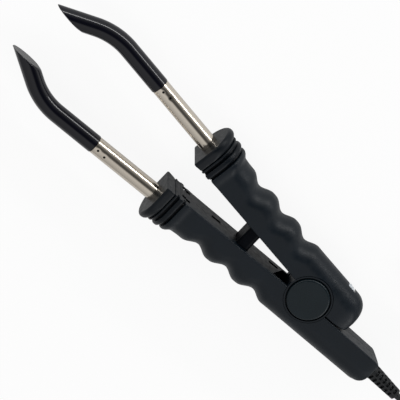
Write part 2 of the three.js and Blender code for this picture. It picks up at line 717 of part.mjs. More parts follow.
// Thumbwheel on its potentiometer and board
function thumbwheel() {
  const ribs = 20;
  const shape = new THREE.Shape();
  for (let i = 0; i < ribs * 2; i += 1) {
    const angle = (i / (ribs * 2)) * Math.PI * 2;
    const radius = DIAL_RADIUS - (i % 2 ? 0.35 : 0);
    const x = radius * Math.cos(angle);
    const y = radius * Math.sin(angle);
    if (i === 0) shape.moveTo(x, y);
    else shape.lineTo(x, y);
  }
  const geometry = new THREE.ExtrudeGeometry(shape, { depth: DIAL_TOP - DIAL_BOTTOM, bevelEnabled: false });
  geometry.translate(DIAL_U, DIAL_Y, DIAL_BOTTOM);
  return geometry;
}
addMesh('temperature_dial', thumbwheel(), 'dial', 0.35, 0, movingArm);
const potShaft = solid(post(1.2, DIAL_U, DIAL_Y, 8.5, 9.3, 10));
const potBody = solid(post(4.0, DIAL_U, DIAL_Y, 7.7, 9.0, 16)).add(potShaft);
addMesh('potentiometer', geometryOf(potBody), 'metal', 0.4, 0.8, movingArm);
addMesh('control_board', box(8.6, 14.8, -18.0, -9.8, 6.2, 7.4), 'board', 0.6, 0, movingArm);

// Terminal block in the tail of the fixed arm
addMesh('terminal_block', box(-13.4, -6.0, -38.6, -29.0, 8.4, 15.4), 'ceramic', 0.6, 0);

// Strain relief: a tapered rubber boot with grooves, its root held in the tail
function strainRelief() {
  const length = RELIEF_START.distanceTo(RELIEF_END);
  const inside = 7.6;
  const grooves = 6;
  const rib = (length - inside - 1.2) / grooves;
  const [ringRadius, ringLength] = RELIEF_RING;
  const profile = [[0, 0], [ringRadius, 0], [ringRadius, ringLength], [RELIEF_NECK, ringLength + 0.3]];
  profile.push([RELIEF_NECK, inside]);
  for (let i = 0; i < grooves; i += 1) {
    const at = inside + rib * i;
    const r = THREE.MathUtils.lerp(RELIEF_NECK, RELIEF_TIP, i / (grooves - 1));
    profile.push([r, at + rib * 0.5]);
    profile.push([r - 0.75, at + rib * 0.56]);
    profile.push([r - 0.75, at + rib * 0.92]);
    profile.push([r - 0.1, at + rib]);
  }
  profile.push([RELIEF_TIP - 0.1, length], [0, length]);
  const geometry = new THREE.LatheGeometry(profile.map(([r, h]) => new THREE.Vector2(r, h)), 10);
  const direction = RELIEF_END.clone().sub(RELIEF_START).normalize();
  geometry.applyQuaternion(new THREE.Quaternion().setFromUnitVectors(new THREE.Vector3(0, 1, 0), direction));
  geometry.translate(RELIEF_START.x, RELIEF_START.y, RELIEF_START.z);
  return geometry;
}
addMesh('strain_relief', strainRelief(), 'cord', 0.6, 0);

// Cord: free stretch down to the surface, then a round coil in four layers
const COIL_ENTRY = new THREE.Vector3(-14.6, -110, CORD_RADIUS + 0.05);
const COIL_CENTRE = new THREE.Vector3(COIL_ENTRY.x + COIL_OUTER, COIL_ENTRY.y - CORD_RADIUS * 2, 0);
const cordDirection = RELIEF_END.clone().sub(RELIEF_START).normalize();
const cordExit = RELIEF_END.clone().addScaledVector(cordDirection, 0.3);
const CORD_ROUTE = [
  cordExit,
  new THREE.Vector3(-10.8, -71.4, 12.85),
  new THREE.Vector3(-11.4, -76.5, 12.3),
  new THREE.Vector3(-12.3, -82.0, 10.6),
  new THREE.Vector3(-12.9, -87.5, 7.9),
  new THREE.Vector3(-13.5, -93.0, 5.0),
  new THREE.Vector3(-14.0, -98.5, 2.8),
  new THREE.Vector3(-14.4, -104.0, 1.85),
  new THREE.Vector3(COIL_ENTRY.x, COIL_ENTRY.y + 3, COIL_ENTRY.z),
  COIL_ENTRY.clone().add(new THREE.Vector3(0, 0.3, 0)),
];

function freeCord() {
  const curve = new THREE.CatmullRomCurve3(CORD_ROUTE, false, 'centripetal');
  const section8 = new THREE.Shape();
  for (let i = 0; i < CORD_SIDES; i += 1) {
    const angle = ((i + 0.5) / CORD_SIDES) * Math.PI * 2;
    const x = CORD_RADIUS * Math.cos(angle);
    const y = CORD_RADIUS * Math.sin(angle);
    if (i === 0) section8.moveTo(x, y);
    else section8.lineTo(x, y);
  }
  const options = { steps: 14, extrudePath: curve, bevelEnabled: false };
  const geometry = new THREE.ExtrudeGeometry(section8, options);
  return { geometry, length: curve.getLength() };
}
const free = freeCord();
addMesh('mains_cord', free.geometry, 'cord', 0.5, 0);

// Radius and height of the coil's centre line after a number of turns
function coilAt(turns) {
  const perLayer = COIL_TURNS / COIL_LAYERS;
  const layer = Math.min(COIL_LAYERS - 1, Math.floor(turns / perLayer));
  const along = turns / perLayer - layer;
  const inward = layer % 2 === 0;
  const radius = inward ? COIL_OUTER - COIL_SPAN * along : COIL_INNER + COIL_SPAN * along;
  let climb = layer;
  for (let k = 1; k < COIL_LAYERS; k += 1) {
    const away = turns - k * perLayer;
    if (Math.abs(away) < 0.25) climb = k - 0.5 + away / 0.5;
  }
  return { radius, z: CORD_RADIUS + 0.05 + climb * COIL_PITCH };
}

function coilPoints() {
  const points = [COIL_ENTRY.clone()];
  const steps = Math.round(COIL_TURNS * COIL_STEPS);
  for (let i = 0; i <= steps; i += 1) {
    const turns = (i / steps) * COIL_TURNS;
    const { radius, z } = coilAt(turns);
    const angle = Math.PI + turns * Math.PI * 2;
    points.push(new THREE.Vector3(
      COIL_CENTRE.x + radius * Math.cos(angle),
      COIL_CENTRE.y + radius * Math.sin(angle),
      z,
    ));
  }
  const last = points[points.length - 1];
  points.push(last.clone().add(new THREE.Vector3(0.3, 5, -0.2)));
  points.push(last.clone().add(new THREE.Vector3(1.2, 10, -1.4)));
  points.push(last.clone().add(new THREE.Vector3(2.2, 15, -3.4)));
  points.push(last.clone().add(new THREE.Vector3(2.8, 20, -5.0)));
  points.push(last.clone().add(new THREE.Vector3(3.0, 25, -5.6)));
  points.push(last.clone().add(new THREE.Vector3(3.0, 28.6, -5.6)));
  return points;
}

// Least gap between stretches of the coil that are more than a third of a turn apart
function leastGap(points, radius, skip) {
  let least = Infinity;
  const nearest = new THREE.Vector3();
  for (let i = 0; i < points.length; i += 1) {
    for (let j = i + skip; j + 1 < points.length; j += 1) {
      new THREE.Line3(points[j], points[j + 1]).closestPointToPoint(points[i], true, nearest);
      least = Math.min(least, nearest.distanceTo(points[i]));
    }
  }
  return least - radius * 2;
}

const coil = coilPoints();
const coilLength = coil.reduce((sum, p, i) => (i ? sum + p.distanceTo(coil[i - 1]) : 0), 0);
addMesh('cord_coil', tubeThrough(coil, CORD_RADIUS, COIL_SIDES), 'cord', 0.5, 0);
console.log(`coil gap ${leastGap(coil, CORD_RADIUS, 8).toFixed(2)} mm, coil ${coilLength.toFixed(0)} mm, `
  + `free cord ${free.length.toFixed(0)} mm`);

// Tie round the turns of the coil
function coilTie() {
  const inner = COIL_INNER - CORD_RADIUS - 0.5;
  const outer = COIL_OUTER + CORD_RADIUS + 0.5;
  const top = CORD_RADIUS * 2 + COIL_PITCH * (COIL_LAYERS - 1) + 0.6;
  const band = 0.9;
  const outside = solid(box(-2, 2, -outer - band, -inner + band, 0, top + band));
  const inside = solid(box(-3, 3, -outer, -inner, -0.35, top));
  return geometryOf(outside.subtract(inside));
}
const tie = coilTie();
tie.translate(COIL_CENTRE.x, COIL_CENTRE.y, 0);
addMesh('coil_tie', tie, 'cord', 0.6, 0);

// Two pin plug with round pins, lying beside the coil
const plugStart = coil[coil.length - 1].clone().add(new THREE.Vector3(0, 0.3, 0));
function plugBody() {
  const levels = [
    [0, 2.6, 2.6],
    [9, 3.4, 3.4],
    [9.6, 5.2, 5.0],
    [14, 8.2, 6.6],
    [PLUG_LENGTH - 3, 12.2, 6.9],
    [PLUG_LENGTH, 12.6, 6.9],
  ];
  const rings = levels.map(([along, halfWidth, halfHeight]) => {
    const ring = [];
    for (let i = 0; i < 16; i += 1) {
      const angle = (i / 16) * Math.PI * 2;
      const c = Math.cos(angle);
      const s = Math.sin(angle);
      ring.push(new THREE.Vector3(
        plugStart.x + halfWidth * Math.sign(c) * Math.abs(c) ** 0.6,
        plugStart.y + along,
        plugStart.z + halfHeight * Math.sign(s) * Math.abs(s) ** 0.6,
      ));
    }
    return ring;
  });
  return loft(rings);
}
addMesh('plug_body', plugBody(), 'cord', 0.45, 0);
[-1, 1].forEach((side) => {
  const pin = new THREE.CylinderGeometry(PIN_RADIUS, PIN_RADIUS, PIN_LENGTH, 12);
  const pinY = plugStart.y + PLUG_LENGTH + 0.2 + PIN_LENGTH / 2;
  pin.translate(plugStart.x + side * PIN_PITCH / 2, pinY, plugStart.z);
  addMesh(side < 0 ? 'plug_pin_left' : 'plug_pin_right', pin, 'metal', 0.3, 1);
});

export default iron;
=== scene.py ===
import math

import bpy
import numpy as np
from mathutils import Matrix, Vector


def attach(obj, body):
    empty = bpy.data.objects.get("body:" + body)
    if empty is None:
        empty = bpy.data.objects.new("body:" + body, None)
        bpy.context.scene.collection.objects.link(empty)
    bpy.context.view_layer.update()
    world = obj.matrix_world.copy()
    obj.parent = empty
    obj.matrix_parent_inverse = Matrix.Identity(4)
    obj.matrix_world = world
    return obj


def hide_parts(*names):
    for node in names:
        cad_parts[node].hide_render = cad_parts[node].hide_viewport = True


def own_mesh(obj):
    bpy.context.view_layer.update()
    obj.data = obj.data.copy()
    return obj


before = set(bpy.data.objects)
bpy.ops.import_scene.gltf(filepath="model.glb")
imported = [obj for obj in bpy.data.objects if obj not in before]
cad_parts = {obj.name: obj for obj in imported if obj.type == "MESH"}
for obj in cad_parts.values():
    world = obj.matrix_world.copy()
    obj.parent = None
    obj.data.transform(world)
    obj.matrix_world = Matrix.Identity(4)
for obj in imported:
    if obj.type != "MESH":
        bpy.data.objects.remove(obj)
scene = bpy.context.scene
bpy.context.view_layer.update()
MM = 0.001


def linked(name, data):
    """New object of the scene."""
    made = bpy.data.objects.new(name, data)
    scene.collection.objects.link(made)
    return made


# Arms
OPEN_ANGLE = math.radians(8.9)
FLANGE_TOP = 23.9
MID_Z = FLANGE_TOP / 2
TOP_AT_PIVOT = 21.5
TOP_SLOPE = 0.0122
BOTTOM_AT_PIVOT = 3.6
BOTTOM_SLOPE = -0.0325
SPLIT_GAP = 0.2
WALL = 1.8
BODY_FRONT_Y = 75.8
OUTER_U = 18.4
OUTER_SLOPE = 0.015
OUTER_DEPTH = 9.0
INNER_U = 1.4
INNER_SLOPE = 0.0118
FIXED_TAIL_SPREAD = 0.022
MOVING_TAIL_SPREAD = 0.13
MOVING_SPREAD_Y = -6.0
EDGE_ROUND = 0.7
END_ROUND = 0.8
FINGER_VALLEYS = (21.9, 39.05, 56.2)
FINGER_DEPTH = 3.0
FINGER_HALF = 7.8
TAIL_SLANT_Y = -44.3
TAILS = {
    "fixed": {"y": -48.2, "radius": 5.8, "drop": 7.6, "squeeze": 0.4, "slant": 3.3},
    "moving": {"y": -24.0, "radius": 8.5, "drop": 7.5, "squeeze": 2.5, "slant": 0.0},
}

# Collar
COLLAR_START_Y = 76.0
COLLAR_END_Y = 87.7
RIM_Y = 70.8
RIM_LENGTH = 3.4
RIM_RISE = 0.5
RIM_OUT = 1.85
VENT_Y = 75.8
VENT_LENGTH = 5.2
VENT_LEVELS = (5.4, 16.3)
VENT_HEIGHT = 2.8
CATCH_SLOTS = ((54.0, 59.6, 8.9), (17.9, 23.5, 7.1))
CATCH_HEIGHT = 2.5
SLOT_LIP = 0.4
RECESS_Y = (15.0, 21.0)

# Barrel and jaw
BARREL_RADIUS = 4.4
BARREL_WALL = 0.5
DIMPLES = ((2.3, 0.3), (6.7, 1.0))
DIMPLE_RADIUS = 0.62
DIMPLE_SINK = 0.16
DIMPLE_SPREAD = 1.15
DIMPLE_REACH = 3.5
BARREL_BACK = (10.6, 72.0)
BARREL_FRONT = (11.52, 125.2)
JAW_RADIUS = 4.6
JAW_STRAIGHT = 23.2
JAW_BEND_RADIUS = 34.4
JAW_LEAN = math.radians(31.3)
JAW_FACE_U = 0.15
JAW_EDGE = 0.5
JAW_TIP_EDGE = 0.12
JAW_REACH = 34.0
JAW_PLUG_LENGTH = 9.0
JAW_PLUG_GAP = 0.35
HEATER_BORE = 2.5
HEATER_BORE_DEPTH = 18.0

# Pivot
DISC_RADIUS = 11.8
FRONT_DISC = (17.2, 21.6)
BACK_DISC = (3.5, 7.4)
LUG_RADIUS = 11.4
LUG_BOTTOM = 7.8
LUG_TOP = 16.8
CAP_SEAT_DEPTH = 1.2
BOLT_SEAT_DEPTH = 2.9
BOLT_SEAT_RADIUS = 4.9
DISC_GROOVE_DEPTH = 0.7
HUB_CLEARANCE = 12.05
HUB_BLOCK_RADIUS = 14.2
CAP_RADIUS = 10.4
CAP_SEAT_RADIUS = 11.05
CAP_TOP = 22.5
CAP_EDGE = 1.0
CAP_SUNK = 1.1
BOLT_RADIUS = 2.0
BUSH_RADIUS = 3.6

# Spring post
POST_Y = 40.5
POST_WIDTH = 6.9
POST_HEIGHT = 15.4
POST_CORNER = 2.5
POST_ROOT_X = -6.0
POST_END_X = 10.0
SPRING_RADIUS = 2.0
SPRING_WIRE = 0.3
SPRING_TURNS = 8
SPRING_END_X = 19.5
SPRING_BORE = 2.7

# Thumbwheel
DIAL_U = 12.3
DIAL_Y = -10.6
DIAL_RADIUS = 6.0
DIAL_BOTTOM = 9.6
DIAL_TOP = 14.3
DIAL_EDGE = 0.5
DIAL_KNURLS = 20
DIAL_KNURL_DEPTH = 0.35
DIAL_ROOM = 6.3
DIAL_WINDOW = (-2.5, 1.9)
BOARD_ROOM = (8.2, 15.2, -18.4, -9.4, 5.8, 8.0)

# Shell screws
SCREWS = {
    "fixed": ((10.5, -24.0), (10.5, 30.5), (9.4, 61.0)),
    "moving": ((10.8, 26.0), (9.4, 61.0)),
}
SCREW_BOSS = 3.6
SCREW_ROOM = 0.3
SCREW_HEAD = 2.6
SCREW_HEAD_DEPTH = 2.6
SCREW_SHANK = 1.3
SCREW_TOP = 16.5

# Cord
CORD_RADIUS = 1.7
CORD_EXIT_Z = 12.9
RELIEF_START = np.array((-8.3, -41.0, CORD_EXIT_Z))
RELIEF_END = np.array((-10.6, -66.2, CORD_EXIT_Z))
RELIEF_RING = (4.8, 3.0)
RELIEF_NECK = 3.95
RELIEF_TIP = 2.9
RELIEF_SECTOR = 60.0
RELIEF_SLOT_DEPTH = 1.05
RELIEF_SLOTS = 6
RELIEF_SLOT_FROM = (0.3, 0.38)
RELIEF_SLOT_TO = (0.72, 0.8)
RELIEF_SLOT_SIDES = (21.5, 24.5)
RELIEF_BLOCK = 7.9
COIL_GAP = 0.55
COIL_LAYERS = 4
COIL_TURNS = 13.5
COIL_INNER = 13.6
COIL_PITCH = CORD_RADIUS * 2 + COIL_GAP
COIL_SPAN = COIL_TURNS / COIL_LAYERS * COIL_PITCH
COIL_OUTER = COIL_INNER + COIL_SPAN
PLUG_LENGTH = 34.0
PIN_RADIUS = 2.0
PIN_LENGTH = 18.8
PIN_PITCH = 18.6

# Camera: the photograph is close to a parallel view, so the lens is long and the camera far away
IMAGE_RIGHT = Vector((0.6685, -0.7437, 0.0)).normalized()
VIEW_BACK = Vector((0.2655, 0.2387, 0.934)).normalized()
IMAGE_UP = VIEW_BACK.cross(IMAGE_RIGHT).normalized()
VIEW_TARGET = Vector((3.65, 72.1, 22.2)) * MM
PIXELS_PER_MM = 2.12
LENS = 800.0
SENSOR = 36.0


def make_camera():
    data = bpy.data.cameras.new("Camera")
    data.type = "PERSP"
    data.lens = LENS
    data.sensor_width = SENSOR
    data.clip_start = 0.1
    data.clip_end = 30.0
    camera = linked("Camera", data)
    distance = LENS / SENSOR * 400 / PIXELS_PER_MM * MM
    turn = Matrix((IMAGE_RIGHT, IMAGE_UP, VIEW_BACK)).transposed().to_4x4()
    camera.matrix_world = Matrix.Translation(VIEW_TARGET + VIEW_BACK * distance) @ turn
    scene.camera = camera


make_camera()


# Node materials
def new_material(name):
    """New material, its node tree and the inputs of its shader."""
    material = bpy.data.materials.new(name)
    material.use_nodes = True
    tree = material.node_tree
    return material, tree, tree.nodes["Principled BSDF"].inputs


def noise(tree, scale, detail, roughness, stretch=None):
    """Noise in object space, stretched along an axis by a mapping where asked."""
    source = tree.nodes.new("ShaderNodeTexCoord").outputs["Object"]
    texture = tree.nodes.new("ShaderNodeTexNoise")
    texture.inputs["Scale"].default_value = scale
    texture.inputs["Detail"].default_value = detail
    texture.inputs["Roughness"].default_value = roughness
    if stretch is not None:
        mapping = tree.nodes.new("ShaderNodeMapping")
        mapping.inputs["Scale"].default_value = stretch
        tree.links.new(source, mapping.inputs["Vector"])
        source = mapping.outputs["Vector"]
    tree.links.new(source, texture.inputs["Vector"])
    return texture.outputs["Fac"]


def drive(tree, socket, source, *stops):
    """Lets a socket follow a value through a ramp of (position, colour) stops; a number is a grey."""
    node = tree.nodes.new("ShaderNodeValToRGB")
    elements = node.color_ramp.elements
    while len(elements) < len(stops):
        elements.new(0.5)
    for element, (position, colour) in zip(elements, stops):
        element.position = position
        element.color = (*colour, 1.0) if isinstance(colour, tuple) else (colour, colour, colour, 1.0)
    tree.links.new(source, node.inputs["Fac"])
    tree.links.new(node.outputs["Color"], socket)


def bump(tree, socket, *layers):
    """Bump from (height, strength, distance) layers, each on top of the one before."""
    below = None
    for height, strength, distance in layers:
        node = tree.nodes.new("ShaderNodeBump")
        node.inputs["Strength"].default_value = strength
        node.inputs["Distance"].default_value = distance
        tree.links.new(height, node.inputs["Height"])
        if below is not None:
            tree.links.new(below, node.inputs["Normal"])
        below = node.outputs["Normal"]
    tree.links.new(below, socket)


def calculate(tree, operation, *values, clamp=False):
    """Output of a math node on sockets and plain numbers."""
    node = tree.nodes.new("ShaderNodeMath")
    node.operation = operation
    node.use_clamp = clamp
    for socket, value in zip(node.inputs, values):
        if isinstance(value, float):
            socket.default_value = value
        else:
            tree.links.new(value, socket)
    return node.outputs["Value"]


def moulded_plastic(name, dark, light, rough, grain=0.12, specular=0.5):
    """Moulded plastic with a fine spark-eroded grain and a faint change of tone."""
    material, tree, inputs = new_material(name)
    inputs["Specular IOR Level"].default_value = specular
    drive(tree, inputs["Base Color"], noise(tree, 60.0, 4.0, 0.6), (0.3, dark), (0.75, light))
    gloss = noise(tree, 420.0, 3.0, 0.55)
    drive(tree, inputs["Roughness"], gloss, (0.3, rough - 0.06), (0.75, rough + 0.08))
    fine = noise(tree, 2600.0, 2.0, 0.5)
    coarse = noise(tree, 700.0, 2.0, 0.5)
    bump(tree, inputs["Normal"], (fine, grain, 0.00008), (coarse, grain * 0.6, 0.0001))
    return material


def polished_metal(name, dark, light, rough, stretch, bump_strength=0.08):
    """Metal with a fine grain drawn along the piece."""
    material, tree, inputs = new_material(name)
    inputs["Metallic"].default_value = 1.0
    grain = noise(tree, 60.0, 5.0, 0.6, stretch)
    drive(tree, inputs["Base Color"], grain, (0.25, dark), (0.8, light))
    drive(tree, inputs["Roughness"], grain, (0.25, rough + 0.05), (0.75, rough - 0.03))
    bump(tree, inputs["Normal"], (grain, bump_strength, 0.00003))
    return material


def gloss_coating(name, dark, light):
    """Black glossy coating on the jaws, with a faint orange peel and hairline scratches."""
    material, tree, inputs = new_material(name)
    inputs["Specular IOR Level"].default_value = 0.34
    drive(tree, inputs["Base Color"], noise(tree, 90.0, 4.0, 0.6), (0.3, dark), (0.75, light))
    hairline = noise(tree, 240.0, 5.0, 0.7, (1.0, 0.12, 1.0))
    drive(tree, inputs["Roughness"], hairline, (0.35, 0.07), (0.8, 0.11))
    bump(tree, inputs["Normal"], (noise(tree, 500.0, 2.0, 0.5), 0.02, 0.00003))
    return material


def brushed_face(name, dark, light):
    """Flat working face of a jaw: dark coating rubbed dull by fine scratches across it."""
    material, tree, inputs = new_material(name)
    scratch = noise(tree, 300.0, 5.0, 0.7, (1.0, 1.0, 0.1))
    drive(tree, inputs["Base Color"], scratch, (0.3, dark), (0.75, light))
    drive(tree, inputs["Roughness"], scratch, (0.3, 0.22), (0.75, 0.36))
    bump(tree, inputs["Normal"], (scratch, 0.15, 0.00005))
    return material


def ceramic(name, dark, light):
    material, tree, inputs = new_material(name)
    speck = noise(tree, 900.0, 4.0, 0.65)
    drive(tree, inputs["Base Color"], speck, (0.3, dark), (0.7, light))
    drive(tree, inputs["Roughness"], speck, (0.3, 0.5), (0.7, 0.7))
    bump(tree, inputs["Normal"], (speck, 0.2, 0.00006))
    return material


def braided_sleeve(name, dark, light):
    """Woven glass sleeve: two crossing sets of fine waves."""
    material, tree, inputs = new_material(name)
    place = tree.nodes.new("ShaderNodeTexCoord")
    heights = []
    for lean in (0.8, -0.8):
        mapping = tree.nodes.new("ShaderNodeMapping")
        mapping.inputs["Rotation"].default_value = (0.0, 0.0, lean)
        wave = tree.nodes.new("ShaderNodeTexWave")
        wave.inputs["Scale"].default_value = 700.0
        wave.inputs["Distortion"].default_value = 1.0
        tree.links.new(place.outputs["Object"], mapping.inputs["Vector"])
        tree.links.new(mapping.outputs["Vector"], wave.inputs["Vector"])
        heights.append(wave.outputs["Fac"])
    weave = calculate(tree, "MULTIPLY", *heights)
    drive(tree, inputs["Base Color"], weave, (0.0, dark), (0.8, light))
    inputs["Roughness"].default_value = 0.85
    bump(tree, inputs["Normal"], (weave, 0.5, 0.0002))
    return material


def dial_plastic(name, dark, light):
    """Pale, slightly translucent moulded plastic of the thumbwheel."""
    material, tree, inputs = new_material(name)
    inputs["Subsurface Weight"].default_value = 0.25
    inputs["Subsurface Radius"].default_value = (0.002, 0.002, 0.0022)
    tone = noise(tree, 160.0, 3.0, 0.5)
    drive(tree, inputs["Base Color"], tone, (0.3, dark), (0.75, light))
    drive(tree, inputs["Roughness"], tone, (0.3, 0.3), (0.75, 0.42))
    return material


# Share of plain white that the floor shows to the camera, and in gloss and glass
FLOOR_SEEN = 0.9
FLOOR_MIRRORED = 0.4


def pale_floor(name):
    """White floor that keeps the shadow, and shows white to the camera and in reflections."""
    material, tree, inputs = new_material(name)
    inputs["Base Color"].default_value = (0.86, 0.86, 0.86, 1.0)
    inputs["Roughness"].default_value = 0.9
    inputs["Specular IOR Level"].default_value = 0.1
    rays = tree.nodes.new("ShaderNodeLightPath").outputs
    glow = tree.nodes.new("ShaderNodeEmission")
    glow.inputs["Color"].default_value = (1.0, 1.0, 1.0, 1.0)
    glow.inputs["Strength"].default_value = 1.0
    seen = calculate(tree, "MULTIPLY", rays["Is Camera Ray"], FLOOR_SEEN)
    mirrored = calculate(tree, "ADD", rays["Is Glossy Ray"], rays["Is Transmission Ray"], clamp=True)
    share = calculate(tree, "MULTIPLY_ADD", mirrored, FLOOR_MIRRORED, seen)
    mix = tree.nodes.new("ShaderNodeMixShader")
    tree.links.new(share, mix.inputs["Fac"])
    tree.links.new(tree.nodes["Principled BSDF"].outputs["BSDF"], mix.inputs[1])
    tree.links.new(glow.outputs["Emission"], mix.inputs[2])
    tree.links.new(mix.outputs["Shader"], tree.nodes["Material Output"].inputs["Surface"])
    return material


MATERIALS = {
    "shell": moulded_plastic(
        "HousingPlastic", (0.0008, 0.0036, 0.0068), (0.0018, 0.0052, 0.0094), 0.44, specular=0.23
    ),
    "collar": moulded_plastic(
        "CollarPlastic", (0.0004, 0.002, 0.0042), (0.0011, 0.0034, 0.0062), 0.42, specular=0.17
    ),
    "cap": moulded_plastic("CapPlastic", (0.0012, 0.0056, 0.0084), (0.002, 0.0072, 0.0108), 0.3, 0.05, 0.24),
    # Spring post: a black plastic of its own, partly painted shade. Its specular level near zero takes the
    # reflections off it so it renders as dark as the shade between the arms
    "post": moulded_plastic(
        "PostPlasticPaintedShade", (0.0012, 0.0019, 0.0032), (0.002, 0.0028, 0.0046), 0.42, 0.05, 0.04
    ),
    "jaw": gloss_coating("JawCoating", (0.0006, 0.0008, 0.0032), (0.0011, 0.0013, 0.0048)),
    "jaw_face": brushed_face("JawFace", (0.006, 0.006, 0.007), (0.02, 0.02, 0.022)),
    "steel": polished_metal(
        "BarrelSteel", (0.5, 0.45, 0.385), (0.6, 0.55, 0.48), 0.12, (1.0, 0.05, 1.0), bump_strength=0.01
    ),
    "zinc": polished_metal("ZincSteel", (0.38, 0.38, 0.39), (0.6, 0.6, 0.62), 0.34, (1.0, 1.0, 1.0)),
    "brass": polished_metal("Brass", (0.5, 0.34, 0.13), (0.68, 0.5, 0.24), 0.3, (1.0, 1.0, 0.2)),
    "ceramic": ceramic("Ceramic", (0.6, 0.56, 0.47), (0.8, 0.77, 0.69)),
    "sleeve": braided_sleeve("GlassSleeve", (0.5, 0.45, 0.33), (0.78, 0.74, 0.62)),
    "dial": dial_plastic("DialPlastic", (0.42, 0.45, 0.48), (0.52, 0.55, 0.58)),
    "board": moulded_plastic("BoardLacquer", (0.008, 0.07, 0.025), (0.014, 0.11, 0.04), 0.4, 0.1),
    "cord": moulded_plastic("CordSheath", (0.005, 0.0065, 0.0075), (0.009, 0.0105, 0.012), 0.44, 0.1, 0.35),
    "relief": moulded_plastic(
        "ReliefRubber", (0.004, 0.005, 0.0058), (0.0065, 0.008, 0.0092), 0.5, 0.1, 0.28
    ),
}


# Shapes as (points, faces) in millimetres
def smoothstep(x, start, end):
    t = min(1.0, max(0.0, (x - start) / (end - start)))
    return t * t * (3 - 2 * t)


def lerp(a, b, t):
    return a + (b - a) * t


def quarter(steps):
    """Angles of a quarter turn in equal steps, with both ends."""
    return [math.pi / 2 * i / steps for i in range(steps + 1)]


def loft(rings):
    """Skin through rings of equal length, with a face on each end."""
    points = np.concatenate([np.asarray(ring, float) for ring in rings])
    count = len(rings[0])
    faces = []
    for i in range(len(rings) - 1):
        for j in range(count):
            a = i * count + j
            b = i * count + (j + 1) % count
            faces.append((a, b, b + count, a + count))
    faces.append(tuple(reversed(range(count))))
    faces.append(tuple(range(len(points) - count, len(points))))
    return points, faces


def box(x0, x1, y0, y1, z0, z1):
    low = [(x0, y0, z0), (x1, y0, z0), (x1, y1, z0), (x0, y1, z0)]
    high = [(x, y, z1) for x, y, _ in low]
    return loft([low, high])


def disc_ring(radius, x, y, z, sides):
    angles = np.arange(sides) / sides * 2 * math.pi
    return np.stack([x + radius * np.cos(angles), y + radius * np.sin(angles), np.full(sides, z)], axis=1)


def post(radius, x, y, z0, z1, sides=96):
    """Round bar along z."""
    return loft([disc_ring(radius, x, y, z0, sides), disc_ring(radius, x, y, z1, sides)])


def lathe(profile, sides):
    """Closed body turned round z from (radius, z) pairs; the first and last radius may be zero."""
    return loft([disc_ring(max(radius, 1e-4), 0, 0, z, sides) for radius, z in profile])


def ring_around(centre, direction, radius, sides):
    """Circle round a point, square to a direction."""
    direction = np.asarray(direction, float) / np.linalg.norm(direction)
    side = np.cross((0.0, 0.0, 1.0), direction)
    if np.linalg.norm(side) < 1e-3:
        side = np.array((1.0, 0.0, 0.0))
    side = side / np.linalg.norm(side)
    up = np.cross(direction, side)
    angles = np.arange(sides) / sides * 2 * math.pi
    return np.asarray(centre) + radius * (np.outer(np.cos(angles), side) + np.outer(np.sin(angles), up))


def way_at(path, i):
    """Direction of a path of points at one of them."""
    return path[min(len(path) - 1, i + 1)] - path[max(0, i - 1)]


def tube(points, radius, sides):
    points = np.asarray(points, float)
    return loft([ring_around(point, way_at(points, i), radius, sides) for i, point in enumerate(points)])


def rounded_outline(a0, a1, b0, b1, low_radius, high_radius, steps):
    """Rectangle with rounded corners as (a, b) pairs; the radii are for the low and the high side of b."""
    outline = []
    for sign_a, sign_b, start in ((1, -1, -90), (1, 1, 0), (-1, 1, 90), (-1, -1, 180)):
        radius = high_radius if sign_b > 0 else low_radius
        centre_a = (a1 if sign_a > 0 else a0) - sign_a * radius
        centre_b = (b1 if sign_b > 0 else b0) - sign_b * radius
        for i in range(steps + 1):
            angle = math.radians(start + 90 * i / steps)
            outline.append((centre_a + radius * math.cos(angle), centre_b + radius * math.sin(angle)))
    return outline


def temporary(shape):
    """Scene object that holds a shape while it is cut."""
    points, faces = shape
    mesh = bpy.data.meshes.new("work")
    mesh.from_pydata([tuple(p) for p in points], [], faces)
    work = linked("work", mesh)
    outward(mesh)
    return work


def outward(mesh):
    """Turns the faces of a closed mesh outward."""
    points = np.empty(len(mesh.vertices) * 3)
    mesh.vertices.foreach_get("co", points)
    points = points.reshape(-1, 3)
    mesh.calc_loop_triangles()
    corners = np.empty(len(mesh.loop_triangles) * 3, np.int32)
    mesh.loop_triangles.foreach_get("vertices", corners)
    a, b, c = (points[corners.reshape(-1, 3)[:, k]] for k in range(3))
    if np.einsum("ij,ij->i", a, np.cross(b, c)).sum() < 0:
        mesh.flip_normals()


def combine(base, shape, operation):
    """Joins, cuts or crosses the temporary object with a shape."""
    other = temporary(shape)
    modifier = base.modifiers.new("step", "BOOLEAN")
    modifier.operation = operation
    modifier.solver = "MANIFOLD"
    modifier.object = other
    graph = bpy.context.evaluated_depsgraph_get()
    made = bpy.data.meshes.new_from_object(base.evaluated_get(graph))
    base.modifiers.clear()
    old = base.data
    base.data = made
    bpy.data.meshes.remove(old)
    old = other.data
    bpy.data.objects.remove(other)
    bpy.data.meshes.remove(old)
    return base


def cut(base, shape):
    return combine(base, shape, "DIFFERENCE")


def add(base, shape):
    return combine(base, shape, "UNION")


def crossed(shape, limits):
    """Part of a shape inside another, as (points, faces)."""
    work = combine(temporary(shape), limits, "INTERSECT")
    return taken(work)


def taken(work):
    """Points and faces of a temporary object, which is removed."""
    mesh = work.data
    points = np.array([v.co for v in mesh.vertices])
    faces = [tuple(p.vertices) for p in mesh.polygons]
    bpy.data.objects.remove(work)
    bpy.data.meshes.remove(mesh)
    return points, faces


